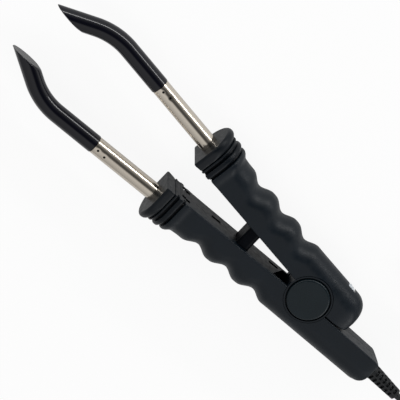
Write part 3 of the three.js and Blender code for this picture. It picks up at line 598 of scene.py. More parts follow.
def piece(name, shape, material, body, replaces=(), crease=32.0, weighted=True):
    """Finished piece of the iron from a shape in millimetres, in the frame of the whole part."""
    points, faces = shape
    mesh = bpy.data.meshes.new(name)
    mesh.from_pydata([tuple(p * MM) for p in np.asarray(points, float)], [], faces)
    outward(mesh)
    mesh.shade_smooth()
    mesh.set_sharp_from_angle(angle=math.radians(crease))
    made = linked(name, mesh)
    mesh.materials.append(MATERIALS[material])
    if weighted:
        modifier = made.modifiers.new("EvenShading", "WEIGHTED_NORMAL")
        modifier.keep_sharp = True
    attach(made, body)
    if replaces:
        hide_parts(*replaces)
    return made


def placed(arm, shape):
    """Arm shape in the frame of the whole part: mirrored for the fixed arm, turned for the moving arm."""
    points, faces = shape
    points = np.array(points, float)
    if arm == "fixed":
        points[:, 0] *= -1
        return points, [tuple(reversed(face)) for face in faces]
    u, y = points[:, 0].copy(), points[:, 1].copy()
    points[:, 0] = u * math.cos(OPEN_ANGLE) + y * math.sin(OPEN_ANGLE)
    points[:, 1] = -u * math.sin(OPEN_ANGLE) + y * math.cos(OPEN_ANGLE)
    return points, faces


def arm_piece(arm, name, shape, material, replaces=(), **options):
    return piece(f"{arm}_{name}", placed(arm, shape), material, f"{arm}_arm", replaces, **options)


# Arm bodies
def rim(y):
    return smoothstep(y, RIM_Y, RIM_Y + RIM_LENGTH)


def body_top(y):
    return TOP_AT_PIVOT + TOP_SLOPE * min(y, COLLAR_START_Y) + RIM_RISE * rim(y)


def body_bottom(y):
    return BOTTOM_AT_PIVOT + BOTTOM_SLOPE * min(y, COLLAR_START_Y) - RIM_RISE * rim(y)


def inner_u(arm, y):
    if y >= 0:
        return INNER_U + INNER_SLOPE * y
    if arm == "fixed":
        return INNER_U + FIXED_TAIL_SPREAD * -y
    if y > MOVING_SPREAD_Y:
        return lerp(INNER_U, 0.0, y / MOVING_SPREAD_Y)
    return MOVING_TAIL_SPREAD * (MOVING_SPREAD_Y - y)


def outer_u(y):
    u = OUTER_U + OUTER_SLOPE * max(0.0, y - 10)
    u += 0.6 * smoothstep(y, 66, BODY_FRONT_Y) + RIM_OUT * rim(y)
    for valley in FINGER_VALLEYS:
        away = abs(y - valley) / FINGER_HALF
        if away < 1:
            u -= FINGER_DEPTH * 0.5 * (1 + math.cos(math.pi * away))
    return u


def section(y, inner, outer, top, bottom, depth, corner, steps=28, corner_steps=4):
    """Section of an arm: flat inner side with rounded edges, flat front and back, bulging outer side."""
    wide = (top + bottom) / 2
    ring = []
    for i in range(steps + 1):
        angle = math.pi / 2 - math.pi * i / steps
        half = top - wide if angle >= 0 else wide - bottom
        ring.append((outer - depth + depth * math.cos(angle), y, wide + half * math.sin(angle)))
    for i in range(corner_steps + 1):
        angle = -math.pi / 2 - math.pi / 2 * i / corner_steps
        across = inner + corner + corner * math.cos(angle)
        ring.append((across, y, bottom + corner + corner * math.sin(angle)))
    for i in range(corner_steps + 1):
        angle = math.pi - math.pi / 2 * i / corner_steps
        ring.append((inner + corner + corner * math.cos(angle), y, top - corner + corner * math.sin(angle)))
    return ring


def stations(tail_y, tail_radius, step):
    """Places along the arm where its section is taken."""
    places = [tail_y + tail_radius * (1 - math.cos(angle)) for angle in quarter(12)]
    start = tail_y + tail_radius
    end = BODY_FRONT_Y - END_ROUND
    count = int(round((end - start) / step))
    places += [start + (end - start) * (i + 1) / count for i in range(count)]
    return places + [end + END_ROUND * math.sin(angle) for angle in quarter(6)[1:]]


def tail_rounding(tail, y):
    """1 at the very end of a tail, falling to 0 along a quarter circle."""
    e = min(1.0, (y - tail["y"]) / tail["radius"])
    return 1 - math.sqrt(max(0.0, 1 - (1 - e) ** 2))


def body_skin(arm):
    tail = TAILS[arm]
    rings = []
    for y in stations(tail["y"], tail["radius"], 0.9):
        rounding = tail_rounding(tail, y)
        left = max(0.0, y - BODY_FRONT_Y + END_ROUND) / END_ROUND
        blunt = END_ROUND * (1 - math.sqrt(max(0.0, 1 - left**2)))
        inner = inner_u(arm, y) + rounding + blunt * 0.3
        outer = outer_u(y) - tail["drop"] * rounding - blunt
        squeeze = tail["squeeze"] * rounding + blunt
        depth = min(OUTER_DEPTH, (outer - inner) * 0.7)
        top = body_top(y) - squeeze
        bottom = body_bottom(y) + squeeze + tail["slant"] * max(0.0, TAIL_SLANT_Y - y)
        rings.append(section(y, inner, outer, top, bottom, depth, EDGE_ROUND))
    return loft(rings)


def body_room(arm):
    """Room inside an arm body, open at the collar end."""
    tail = TAILS[arm]
    rings = []
    for y in stations(tail["y"], tail["radius"], 3.0):
        rounding = tail_rounding(tail, y)
        at = max(y, tail["y"] + 3.5)
        if rings and at - rings[-1][0][1] < 0.05:
            rings.pop()
        inner = inner_u(arm, y) + rounding + WALL
        outer = outer_u(y) - tail["drop"] * rounding - WALL
        squeeze = tail["squeeze"] * rounding + WALL
        depth = min(OUTER_DEPTH - WALL * 0.6, (outer - inner) * 0.7)
        top = body_top(y) - squeeze
        bottom = body_bottom(y) + squeeze + tail["slant"] * max(0.0, TAIL_SLANT_Y + 1.9 - at)
        rings.append(section(at, inner, outer, top, bottom, depth, 0.3, steps=16))
    rings.append([(x, BODY_FRONT_Y + 1, z) for x, _, z in rings[-1]])
    return loft(rings)


def rounded_block(u0, u1, y0, y1, clearance, corner_steps=8, edge=0.0):
    """Block along u with rounded corners and, where asked, softened ends."""
    levels = [(u0, 0.0), (u1, 0.0)]
    if edge:
        levels[1:] = [(u1 - edge * (1 - math.sin(a)), edge * (1 - math.cos(a))) for a in quarter(4)]
    half_height = POST_HEIGHT / 2
    rings = []
    for u, less in levels:
        out = clearance - less
        radius = POST_CORNER - less * 0.5
        low, high = MID_Z - half_height - out, MID_Z + half_height + out
        outline = rounded_outline(y0 - out, y1 + out, low, high, radius, radius, corner_steps)
        rings.append([(u, y, z) for y, z in outline])
    return loft(rings)


def bore_along_x(x0, x1, y, z, radius, sides=48):
    return loft([ring_around((x, y, z), (1, 0, 0), radius, sides) for x in (x0, x1)])


def with_screw_seats(work, skin, arm):
    for u, y in SCREWS[arm]:
        head_top = body_bottom(y) + SCREW_HEAD_DEPTH
        add(work, crossed(skin, post(SCREW_BOSS, u, y, 0, body_top(y) - 1, 32)))
        cut(work, post(SCREW_HEAD + SCREW_ROOM, u, y, -1, head_top + SCREW_ROOM, 40))
        cut(work, post(SCREW_SHANK + SCREW_ROOM, u, y, head_top - 1, SCREW_TOP + 0.8, 20))
    return work


def cut_slot(work, y0, y1, z0, z1):
    """Slot in the inner wall behind a thin lip, with a taller hollow inside."""
    cut(work, box(-1, 5.5, y0, y1, z0, z1))
    behind = INNER_U + INNER_SLOPE * y0 + SLOT_LIP
    return cut(work, box(behind, 5.5, y0 - SLOT_LIP, y1 + SLOT_LIP, z0 - 3.0, z1 + SLOT_LIP))


def cut_vents(work):
    for z in VENT_LEVELS:
        half = VENT_LENGTH / 2
        cut_slot(work, VENT_Y - half, VENT_Y + half, z - VENT_HEIGHT / 2, z + VENT_HEIGHT / 2)
    return work


def cut_catch_slots(work):
    for y0, y1, z in CATCH_SLOTS:
        cut_slot(work, y0, y1, z, z + CATCH_HEIGHT)
    return work


def ring_groove(inner, outer, z0, z1, sides=96):
    """Ring-shaped cutter round the pivot axis."""
    profile = [(inner, z0), (outer, z0), (outer, z1), (inner, z1)]
    points = np.concatenate([disc_ring(radius, 0, 0, z, sides) for radius, z in profile])
    faces = []
    for i in range(len(profile)):
        k = (i + 1) % len(profile)
        for j in range(sides):
            m = (j + 1) % sides
            faces.append((i * sides + j, i * sides + m, k * sides + m, k * sides + j))
    return points, faces


def fixed_body():
    skin = body_skin("fixed")
    work = cut(temporary(skin), body_room("fixed"))
    with_screw_seats(work, skin, "fixed")
    cut_vents(cut_catch_slots(work))
    room_bottom = BOTTOM_AT_PIVOT + WALL
    room_top = TOP_AT_PIVOT - WALL
    cut(work, loft([
        [(-4, 0, z), (4.5, 0, z), (4.5, y, z), (-4, y, z)]
        for y, z in zip(RECESS_Y, (room_bottom, room_top))
    ]))
    cut(work, post(HUB_CLEARANCE, 0, 0, room_bottom, room_top))
    for z0, z1 in (FRONT_DISC, BACK_DISC):
        add(work, post(DISC_RADIUS, 0, 0, z0, z1))
    for face, out in ((FRONT_DISC[1], 1), (BACK_DISC[0], -1)):
        far = face + out * 9
        cut(work, ring_groove(DISC_RADIUS - 0.02, HUB_CLEARANCE, face - out * DISC_GROOVE_DEPTH, far))
        cut(work, post(CAP_SEAT_RADIUS, 0, 0, face - out * CAP_SEAT_DEPTH, far))
        cut(work, post(BOLT_SEAT_RADIUS, 0, 0, face - out * BOLT_SEAT_DEPTH, far, 32))
    cut(work, post(BOLT_RADIUS + 0.3, 0, 0, -1, 30, 24))
    cut(work, ring_groove(CAP_RADIUS - 0.4, CAP_SEAT_RADIUS, FRONT_DISC[1] - 2.8, FRONT_DISC[1]))
    cut(work, rounded_block(-4, 6.6, POST_Y - POST_WIDTH / 2, POST_Y + POST_WIDTH / 2, 0.15))
    root = RELIEF_START * np.array((-1, 1, 1))
    along = RELIEF_END * np.array((-1, 1, 1)) - root
    along = along / np.linalg.norm(along)
    for radius, reach in ((RELIEF_RING[0], (-0.3, RELIEF_RING[1] + 0.3)), (RELIEF_NECK, (1, 14))):
        cut(work, loft([ring_around(root + along * t, along, radius + 0.3, 48) for t in reach]))
    return taken(work)


def moving_body():
    skin = body_skin("moving")
    work = cut(temporary(skin), body_room("moving"))
    add(work, crossed(skin, post(HUB_BLOCK_RADIUS, 0, 0, BOTTOM_AT_PIVOT + 1, TOP_AT_PIVOT - 1)))
    with_screw_seats(work, skin, "moving")
    cut_vents(cut_catch_slots(work))
    add(work, post(LUG_RADIUS, 0, 0, LUG_BOTTOM, LUG_TOP))
    cut(work, post(HUB_CLEARANCE, 0, 0, LUG_TOP, 30))
    cut(work, post(HUB_CLEARANCE, 0, 0, -5, LUG_BOTTOM))
    cut(work, post(BUSH_RADIUS + 0.3, 0, 0, 0, 25, 40))
    travel = POST_WIDTH / 2
    cut(work, rounded_block(-4, POST_END_X + 0.5, POST_Y - travel - 0.6, POST_Y + travel + 1.6, 0.4))
    cut(work, post(DIAL_ROOM, DIAL_U, DIAL_Y, 7.0, DIAL_TOP + 0.5, 64))
    window = [DIAL_Y + away for away in DIAL_WINDOW]
    cut(work, box(15.5, 22, *window, DIAL_BOTTOM - 0.8, DIAL_TOP + 0.8))
    cut(work, box(*BOARD_ROOM))
    return taken(work)


def add_shells(arm, whole):
    cut_half = SPLIT_GAP / 2
    halves = {
        "front_shell": box(-40, 60, -80, 120, MID_Z + cut_half, 40),
        "back_shell": box(-40, 60, -80, 120, -10, MID_Z - cut_half),
    }
    for name, keep in halves.items():
        arm_piece(arm, f"{name}_moulding", crossed(whole, keep), "shell", (f"{arm}_{name}",))


# Collars
COLLAR_FORMS = {
    "deep": {"outer": 21.1, "rise": -1.9, "back": -0.9, "depth": 10.2, "inward": 0.3},
    "rib": {"outer": 22.45, "rise": 0.85, "back": 0.85, "depth": 10.8, "inward": 0.45},
    "second": {"outer": 21.5, "rise": -1.9, "back": 0.0, "depth": 10.4, "inward": 0.45},
    "band": {"outer": 22.25, "rise": 0.85, "back": 0.85, "depth": 10.9, "inward": 0.45},
    "fine": {"outer": 21.3, "rise": -0.6, "back": 0.3, "depth": 10.6, "inward": 0.05},
}
COLLAR_BLOCKS = (
    (76.0, 77.15, "deep", 0.0, 0.0),
    (77.2, 79.75, "rib", 1.0, 0.9),
    (79.8, 81.25, "second", 0.0, 0.0),
    (81.3, 82.25, "band", 0.4, 0.3),
    (82.3, 82.75, "fine", 0.0, 0.0),
)
# Flange from its rear edge to its front: (y, outer u, drop of the top, inward of the inner side)
FLANGE = (
    (82.8, 21.6, 1.0, 0.0), (82.95, 21.85, 0.75, 0.2), (83.3, 22.2, 0.6, 0.28), (84.0, 23.0, 0.45, 0.38),
    (84.6, 23.42, 0.35, 0.45), (85.3, 23.63, 0.2, 0.55), (86.0, 23.66, 0.08, 0.62), (86.5, 23.55, 0.0, 0.68),
    (86.9, 23.36, 0.0, 0.7), (87.25, 23.05, 0.05, 0.66), (87.5, 22.68, 0.18, 0.56), (87.65, 22.3, 0.34, 0.42),
    (COLLAR_END_Y, 22.05, 0.5, 0.3),
)


def collar_ring(y, form, blunt):
    inner = INNER_U + INNER_SLOPE * y - form["inward"] + blunt * 0.4
    top = body_top(COLLAR_START_Y) - RIM_RISE + form["rise"]
    bottom = body_bottom(COLLAR_START_Y) + RIM_RISE - form["back"]
    outer = form["outer"] - blunt
    return section(y, inner, outer, top - blunt * 0.6, bottom + blunt * 0.6, form["depth"], 0.6)


def collar():
    rings = []
    for y0, y1, name, rear, front in COLLAR_BLOCKS:
        form = COLLAR_FORMS[name]
        for end, inward, radius in ((y0, 1, rear), (y1, -1, front)):
            turns = quarter(6) if radius else [math.pi / 2]
            for angle in turns if inward > 0 else reversed(turns):
                along = end + inward * radius * (1 - math.cos(angle))
                rings.append(collar_ring(along, form, radius * (1 - math.sin(angle))))
    for y, outer, drop, inward in FLANGE:
        inner = INNER_U + INNER_SLOPE * y - inward
        rings.append(section(y, inner, outer, FLANGE_TOP - drop, drop, 11.7 - drop, 0.6))
    rear = 69.8
    spigot = loft([
        section(
            y,
            inner_u("fixed", rear) + WALL + 0.9,
            outer_u(rear) - WALL - 0.5,
            body_top(rear) - WALL - 0.3,
            body_bottom(rear) + WALL + 0.3,
            OUTER_DEPTH - 1.4,
            0.6,
        )
        for y in (rear, COLLAR_START_Y + 0.6)
    ])
    work = add(temporary(loft(rings)), spigot)
    cut(work, loft([section(y, 4.6, 17.2, 18.5, 5.4, 6.2, 0.4) for y in (rear - 1, 81)]))
    cut_vents(work)
    lip = COLLAR_END_Y - 0.8
    cut(work, loft([ring_around(on_axis(y), AXIS, BARREL_RADIUS + 0.3, 64) for y in (76, lip)]))
    cut(work, loft([ring_around(on_axis(y), AXIS, BARREL_RADIUS + 0.04, 64) for y in (lip - 0.1, 92)]))
    return taken(work)


# Barrel and jaw
def barrel_u(y):
    t = (y - BARREL_BACK[1]) / (BARREL_FRONT[1] - BARREL_BACK[1])
    return lerp(BARREL_BACK[0], BARREL_FRONT[0], t)


def on_axis(y):
    return np.array((barrel_u(y), y, MID_Z))


AXIS = on_axis(BARREL_FRONT[1]) - on_axis(BARREL_BACK[1])
AXIS = AXIS / np.linalg.norm(AXIS)


def rod(y0, y1, radius, sides=64):
    return loft([ring_around(on_axis(y), AXIS, radius, sides) for y in (y0, y1)])


def barrel_levels():
    """Stations along the barrel, close together round the dimples, with a softened front edge."""
    y0, y1 = BARREL_BACK[1], BARREL_FRONT[1]
    dense = y1 - 10.0
    levels = [(lerp(y0, dense, i / 30), 0.0) for i in range(31)]
    levels += [(lerp(dense, y1 - 0.25, i / 62), 0.0) for i in range(1, 63)]
    return levels + [(y1 - 0.08, 0.06), (y1, 0.18)]


def barrel():
    """Tube with punched dimples: the wall sinks round each one and is open at its middle."""
    y0, y1 = BARREL_BACK[1], BARREL_FRONT[1]
    rings = []
    for y, less in barrel_levels():
        centre = on_axis(y)
        ring = ring_around(centre, AXIS, BARREL_RADIUS - less, 120)
        for back, aside in DIMPLES:
            at = y1 - back
            if abs(y - at) > DIMPLE_REACH:
                continue
            height = math.sqrt(BARREL_RADIUS**2 - aside**2)
            away = np.linalg.norm(ring - np.array((barrel_u(at) + aside, at, MID_Z + height)), axis=1)
            dent = DIMPLE_SINK * np.exp(-((away / DIMPLE_SPREAD) ** 2))
            ring = ring + (centre - ring) * (dent / BARREL_RADIUS)[:, None]
        rings.append(ring)
    work = temporary(loft(rings))
    cut(work, rod(y0 - 1, y1 + 1, BARREL_RADIUS - BARREL_WALL))
    for back, aside in DIMPLES:
        cut(work, post(DIMPLE_RADIUS, barrel_u(y1 - back) + aside, y1 - back, MID_Z + 2, MID_Z + 6, 32))
    return taken(work)


def jaw_path():
    lean = math.atan2(BARREL_FRONT[0] - BARREL_BACK[0], BARREL_FRONT[1] - BARREL_BACK[1])
    start = on_axis(BARREL_FRONT[1] + 0.3)
    forward = np.array((math.sin(lean), math.cos(lean), 0.0))
    bend_start = start + forward * JAW_STRAIGHT
    centre = bend_start + np.array((-math.cos(lean), math.sin(lean), 0.0)) * JAW_BEND_RADIUS
    points = [start + forward * JAW_STRAIGHT * i / 12 for i in range(13)]
    turns = 40
    for i in range(1, turns + 1):
        angle = lean - (lean + JAW_LEAN) * i / turns
        points.append(centre + np.array((math.cos(angle), -math.sin(angle), 0.0)) * JAW_BEND_RADIUS)
    tip = np.array((-math.sin(JAW_LEAN), math.cos(JAW_LEAN), 0.0))
    end = points[-1]
    points += [end + tip * JAW_REACH * i / 30 for i in range(1, 31)]
    return points


def jaw_bevel(path):
    """Cutter whose skin crosses the edge between the round jaw and its flat face at 45 degrees."""
    rings = []
    sides = 96
    for i, point in enumerate(path):
        unit = ring_around(point, way_at(path, i), 1.0, sides) - point
        edge = lerp(JAW_EDGE, JAW_TIP_EDGE, smoothstep(point[0], 4.0, -3.0))
        room = JAW_RADIUS - edge + point[0] - JAW_FACE_U
        if room < 0.02:
            break
        reach = np.minimum(room / np.maximum(1e-3, 1 - unit[:, 0]), JAW_RADIUS + 1.5)
        rings.append(point + unit * reach[:, None])
    return loft(rings)


def jaw():
    path = jaw_path()
    skin = tube(path, JAW_RADIUS, 72)
    work = combine(temporary(skin), box(JAW_FACE_U, 40, 100, 230, -5, 40), "INTERSECT")
    combine(work, jaw_bevel(path), "INTERSECT")
    y1 = BARREL_FRONT[1]
    add(work, rod(y1 - JAW_PLUG_LENGTH, y1 + 2, BARREL_RADIUS - BARREL_WALL - JAW_PLUG_GAP, 40))
    cut(work, rod(y1 - JAW_PLUG_LENGTH - 1, y1 + HEATER_BORE_DEPTH, HEATER_BORE, 32))
    return taken(work)


def add_heating(arm):
    arm_piece(arm, "barrel_tube", barrel(), "steel", (f"{arm}_barrel",))
    shape = jaw()
    made = arm_piece(arm, "jaw_coated", shape, "jaw", (f"{arm}_jaw",), crease=52.0)
    made.data.materials.append(MATERIALS["jaw_face"])
    points, faces = shape
    for polygon, face in zip(made.data.polygons, faces):
        if points[list(face)][:, 0].max() < JAW_FACE_U + 0.01:
            polygon.material_index = 1
    arm_piece(arm, "collar_ribbed", collar(), "collar", (f"{arm}_collar",))


add_shells("fixed", fixed_body())
add_shells("moving", moving_body())
add_heating("fixed")
add_heating("moving")


# Pivot caps
def cap_profile(flat_z, dome_z, toward):
    """Flat disc with a rounded edge; toward is +1 for the front cap and -1 for the back cap."""
    rim_z = dome_z - toward * CAP_EDGE
    profile = [(0.0, flat_z), (CAP_RADIUS, flat_z)]
    for angle in quarter(10):
        radius = CAP_RADIUS - CAP_EDGE * (1 - math.cos(angle))
        profile.append((radius, rim_z + toward * CAP_EDGE * math.sin(angle)))
    return profile + [(CAP_RADIUS - 3.0, dome_z), (0.0, dome_z)]


for side, flat_z, dome_z, toward in (
    ("front", FRONT_DISC[1] - CAP_SUNK, CAP_TOP, 1),
    ("back", BACK_DISC[0] + CAP_SUNK, 0.0, -1),
):
    cap = lathe(cap_profile(flat_z, dome_z, toward), 128)
    piece(f"pivot_cap_{side}", cap, "cap", "fixed_arm", (f"pivot_{side}_cap",))

# Spring post
sleeve = temporary(rounded_block(
    POST_ROOT_X, POST_END_X, POST_Y - POST_WIDTH / 2, POST_Y + POST_WIDTH / 2, 0.0, 10, 0.4,
))
cut(sleeve, bore_along_x(POST_ROOT_X + 1.5, POST_END_X + 1.5, POST_Y, MID_Z, SPRING_BORE))
piece("spring_post_sleeve", taken(sleeve), "post", "fixed_arm", ("spring_post",))


# Return spring: a helix of wire from its seat in the post toward the moving arm
def spring_shape():
    start = POST_ROOT_X + 2.0
    steps = SPRING_TURNS * 24
    points = []
    for i in range(steps + 1):
        f = i / steps
        angle = f * SPRING_TURNS * 2 * math.pi
        points.append((
            lerp(start, SPRING_END_X, f),
            POST_Y + SPRING_RADIUS * math.cos(angle),
            MID_Z + SPRING_RADIUS * math.sin(angle),
        ))
    return tube(points, SPRING_WIRE, 12)


spring = piece("return_spring_coil", spring_shape(), "zinc", "fixed_arm", ("return_spring",), weighted=False)
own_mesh(spring)


# Thumbwheel: knurled rim with softened edges
def thumbwheel():
    sides = DIAL_KNURLS * 12
    turned_in = [(DIAL_EDGE * (1 - math.cos(a)), DIAL_EDGE * (1 - math.sin(a))) for a in quarter(5)]
    levels = [(DIAL_BOTTOM + along, less) for along, less in turned_in]
    levels += [(DIAL_TOP - along, less) for along, less in reversed(turned_in)]
    rings = []
    for z, less in levels:
        ring = []
        for i in range(sides):
            angle = i / sides * 2 * math.pi
            wave = 0.5 + 0.5 * math.cos(angle * DIAL_KNURLS)
            radius = DIAL_RADIUS - DIAL_KNURL_DEPTH * (1 - wave**0.6) - less
            ring.append((DIAL_U + radius * math.cos(angle), DIAL_Y + radius * math.sin(angle), z))
        rings.append(ring)
    return loft(rings)


piece("dial_wheel", placed("moving", thumbwheel()), "dial", "dial", ("temperature_dial",))


# Strain relief: tapered boot with slots that alternate round it, bored for the cord
def relief_shape():
    along = RELIEF_END - RELIEF_START
    length = float(np.linalg.norm(along))
    along = along / length
    pitch = (length - RELIEF_BLOCK - 1.0) / (RELIEF_SLOTS + 0.5)
    ring_radius, ring_length = RELIEF_RING
    sides = 144
    rings = []
    for t, radius in ((0.0, ring_radius), (ring_length, ring_radius), (ring_length + 0.05, RELIEF_NECK)):
        rings.append(ring_around(RELIEF_START + along * t, along, radius, sides))
    steps = 150
    side = np.cross((0.0, 0.0, 1.0), along)
    up = np.cross(along, side)
    for i in range(steps + 1):
        t = lerp(ring_length + 0.2, length, i / steps)
        full = lerp(RELIEF_NECK, RELIEF_TIP, max(0.0, (t - RELIEF_BLOCK) / (length - RELIEF_BLOCK)))
        if t > length - 0.5:
            full -= 0.5 * (1 - math.sqrt(max(0.0, 1 - ((t - length + 0.5) / 0.5) ** 2)))
        ring = []
        for j in range(sides):
            angle = j / sides * 2 * math.pi
            radius = full
            sector = math.degrees(angle) / RELIEF_SECTOR
            shift = 0.5 if int(sector + 0.5) % 2 else 0.0
            number = math.floor((t - RELIEF_BLOCK) / pitch - shift)
            at = (t - RELIEF_BLOCK) / pitch - shift - number
            if 0 <= number < RELIEF_SLOTS and t < length - 1.2:
                across = smoothstep(at, *RELIEF_SLOT_FROM) * (1 - smoothstep(at, *RELIEF_SLOT_TO))
                off = abs(sector - round(sector)) * RELIEF_SECTOR
                radius -= RELIEF_SLOT_DEPTH * across * (1 - smoothstep(off, *RELIEF_SLOT_SIDES))
            ring.append(RELIEF_START + along * t + radius * (side * math.cos(angle) + up * math.sin(angle)))
        rings.append(np.array(ring))
    for t, radius in ((length, CORD_RADIUS + 0.12), (length - 2.0, CORD_RADIUS + 0.12)):
        rings.append(ring_around(RELIEF_START + along * t, along, radius, sides))
    return loft(rings)


piece("strain_relief_boot", relief_shape(), "relief", "fixed_arm", ("strain_relief",), crease=40.0)


# Cord: free stretch down to the floor, then a round coil in four layers
def catmull_rom(points, per_span):
    """Centripetal Catmull-Rom curve through the points, ends extended by reflection."""
    points = [np.asarray(p, float) for p in points]
    points = [2 * points[0] - points[1], *points, 2 * points[-1] - points[-2]]
    out = []
    for i in range(1, len(points) - 2):
        p0, p1, p2, p3 = points[i - 1 : i + 3]
        t0 = 0.0
        t1 = t0 + math.sqrt(np.linalg.norm(p1 - p0))
        t2 = t1 + math.sqrt(np.linalg.norm(p2 - p1))
        t3 = t2 + math.sqrt(np.linalg.norm(p3 - p2))
        for k in range(per_span):
            t = lerp(t1, t2, k / per_span)
            a1 = (t1 - t) / (t1 - t0) * p0 + (t - t0) / (t1 - t0) * p1
            a2 = (t2 - t) / (t2 - t1) * p1 + (t - t1) / (t2 - t1) * p2
            a3 = (t3 - t) / (t3 - t2) * p2 + (t - t2) / (t3 - t2) * p3
            b1 = (t2 - t) / (t2 - t0) * a1 + (t - t0) / (t2 - t0) * a2
            b2 = (t3 - t) / (t3 - t1) * a2 + (t - t1) / (t3 - t1) * a3
            out.append((t2 - t) / (t2 - t1) * b1 + (t - t1) / (t2 - t1) * b2)
    out.append(points[-2])
    return out


COIL_ENTRY = np.array((-14.6, -110.0, CORD_RADIUS + 0.05))
COIL_CENTRE = np.array((COIL_ENTRY[0] + COIL_OUTER, COIL_ENTRY[1] - CORD_RADIUS * 2, 0.0))
RELIEF_WAY = (RELIEF_END - RELIEF_START) / np.linalg.norm(RELIEF_END - RELIEF_START)
CORD_ROUTE = (
    RELIEF_END - RELIEF_WAY * 1.6,
    RELIEF_END + RELIEF_WAY * 0.3,
    (-10.8, -71.4, 12.85),
    (-11.4, -76.5, 12.3),
    (-12.3, -82.0, 10.6),
    (-12.9, -87.5, 7.9),
    (-13.5, -93.0, 5.0),
    (-14.0, -98.5, 2.8),
    (-14.4, -104.0, 1.85),
    (COIL_ENTRY[0], COIL_ENTRY[1] + 3, COIL_ENTRY[2]),
)


def coil_at(turns):
    """Radius and height of the coil's centre line after a number of turns."""
    per_layer = COIL_TURNS / COIL_LAYERS
    layer = min(COIL_LAYERS - 1, int(turns / per_layer))
    along = turns / per_layer - layer
    radius = COIL_OUTER - COIL_SPAN * along if layer % 2 == 0 else COIL_INNER + COIL_SPAN * along
    climb = layer
    for k in range(1, COIL_LAYERS):
        away = turns - k * per_layer
        if abs(away) < 0.25:
            climb = k - 0.5 + away / 0.5
    return radius, CORD_RADIUS + 0.05 + climb * COIL_PITCH


def cord_points():
    points = catmull_rom(CORD_ROUTE, 3)
    steps = int(round(COIL_TURNS * 36))
    for i in range(steps + 1):
        turns = i / steps * COIL_TURNS
        radius, z = coil_at(turns)
        angle = math.pi + turns * 2 * math.pi
        points.append(np.array((
            COIL_CENTRE[0] + radius * math.cos(angle),
            COIL_CENTRE[1] + radius * math.sin(angle),
            z,
        )))
    last = points[-1]
    flare = (
        (0.3, 5, -0.2), (1.2, 10, -1.4), (2.2, 15, -3.4),
        (2.8, 20, -5.0), (3.0, 25, -5.6), (3.0, 28.6, -5.6),
    )
    tail = [last] + [last + np.array(step) for step in flare]
    points += catmull_rom(tail, 3)[1:]
    return points


CORD_POINTS = cord_points()


def cord_curve():
    data = bpy.data.curves.new("mains_lead", "CURVE")
    data.dimensions = "3D"
    data.bevel_depth = CORD_RADIUS * MM
    data.bevel_resolution = 5
    data.use_fill_caps = True
    spline = data.splines.new("POLY")
    spline.points.add(len(CORD_POINTS) - 1)
    for target, point in zip(spline.points, CORD_POINTS):
        target.co = (*(point * MM), 1.0)
    data.materials.append(MATERIALS["cord"])
    made = linked("mains_lead", data)
    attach(made, "fixed_arm")
    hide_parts("mains_cord", "cord_coil")
    return made


lead = cord_curve()


# Tie round the turns of the coil
def tie_shape():
    inner = COIL_INNER - CORD_RADIUS - 0.5
    outer = COIL_OUTER + CORD_RADIUS + 0.5
    top = CORD_RADIUS * 2 + COIL_PITCH * (COIL_LAYERS - 1) + 0.6
    band = 0.9
    half = 2.0
    round_off = 0.35
    corner = 2.2
    outside = rounded_outline(-outer - band, -inner + band, 0.0, top + band, 0.3, corner, 8)
    inside = rounded_outline(-outer, -inner, -0.35, top, 0.3, corner - band, 8)
    levels = ((-half, round_off), (-half + 0.1, 0.12), (-half + round_off, 0.0))
    levels += tuple((-x, less) for x, less in reversed(levels))
    rings = []
    mid = np.array(((-outer - inner) / 2, top / 2))
    for x, less in levels:
        ring = []
        for y, z in outside:
            away = np.array((y, z)) - mid
            scale = 1 - less * 0.5 / max(1e-6, np.linalg.norm(away))
            ring.append((x, mid[0] + away[0] * scale, max(0.0, mid[1] + away[1] * scale)))
        rings.append(ring)
    work = temporary(loft(rings))
    cut(work, loft([[(x, y, z) for y, z in inside] for x in (-3.0, 3.0)]))
    points, faces = taken(work)
    return points + COIL_CENTRE, faces


tie = piece("coil_tie_band", tie_shape(), "relief", "fixed_arm", ("coil_tie",))

# Plug with two round pins, lying beside the coil
PLUG_START = CORD_POINTS[-1] + np.array((0.0, 0.3, 0.0))


def plug_shape():
    levels = (
        (0.0, 2.4, 2.4), (0.3, 2.6, 2.6), (4.5, 3.0, 3.0), (8.8, 3.35, 3.35), (9.1, 3.5, 3.5),
        (9.5, 4.9, 4.7), (10.2, 5.6, 5.2), (12.0, 6.9, 5.9), (14.0, 8.2, 6.5), (18.0, 9.7, 6.75),
        (24.0, 11.2, 6.88), (30.0, 12.1, 6.9), (33.2, 12.5, 6.9), (33.7, 12.35, 6.75), (34.0, 12.0, 6.4),
    )
    rings = []
    for along, half_width, half_height in levels:
        ring = []
        for i in range(64):
            angle = i / 64 * 2 * math.pi
            c, s = math.cos(angle), math.sin(angle)
            ring.append((
                PLUG_START[0] + half_width * math.copysign(abs(c) ** 0.6, c),
                PLUG_START[1] + along,
                PLUG_START[2] + half_height * math.copysign(abs(s) ** 0.6, s),
            ))
        rings.append(ring)
    return loft(rings)


plug = piece("plug_moulding", plug_shape(), "cord", "fixed_arm", ("plug_body",))
for side, name in ((-1, "left"), (1, "right")):
    x = PLUG_START[0] + side * PIN_PITCH / 2
    start_y = PLUG_START[1] + PLUG_LENGTH + 0.2
    end_y = start_y + PIN_LENGTH
    levels = [(start_y, PIN_RADIUS), (end_y - 1.4, PIN_RADIUS)]
    for k in range(1, 8):
        angle = math.pi / 2 * k / 8
        levels.append((end_y - 1.4 + 1.4 * math.sin(angle), PIN_RADIUS * math.cos(angle) ** 0.6))
    levels.append((end_y, 0.25))
    rings = [ring_around((x, y, PLUG_START[2]), (0, 1, 0), radius, 40) for y, radius in levels]
    piece(f"plug_pin_{name}_round", loft(rings), "zinc", "fixed_arm", (f"plug_pin_{name}",))

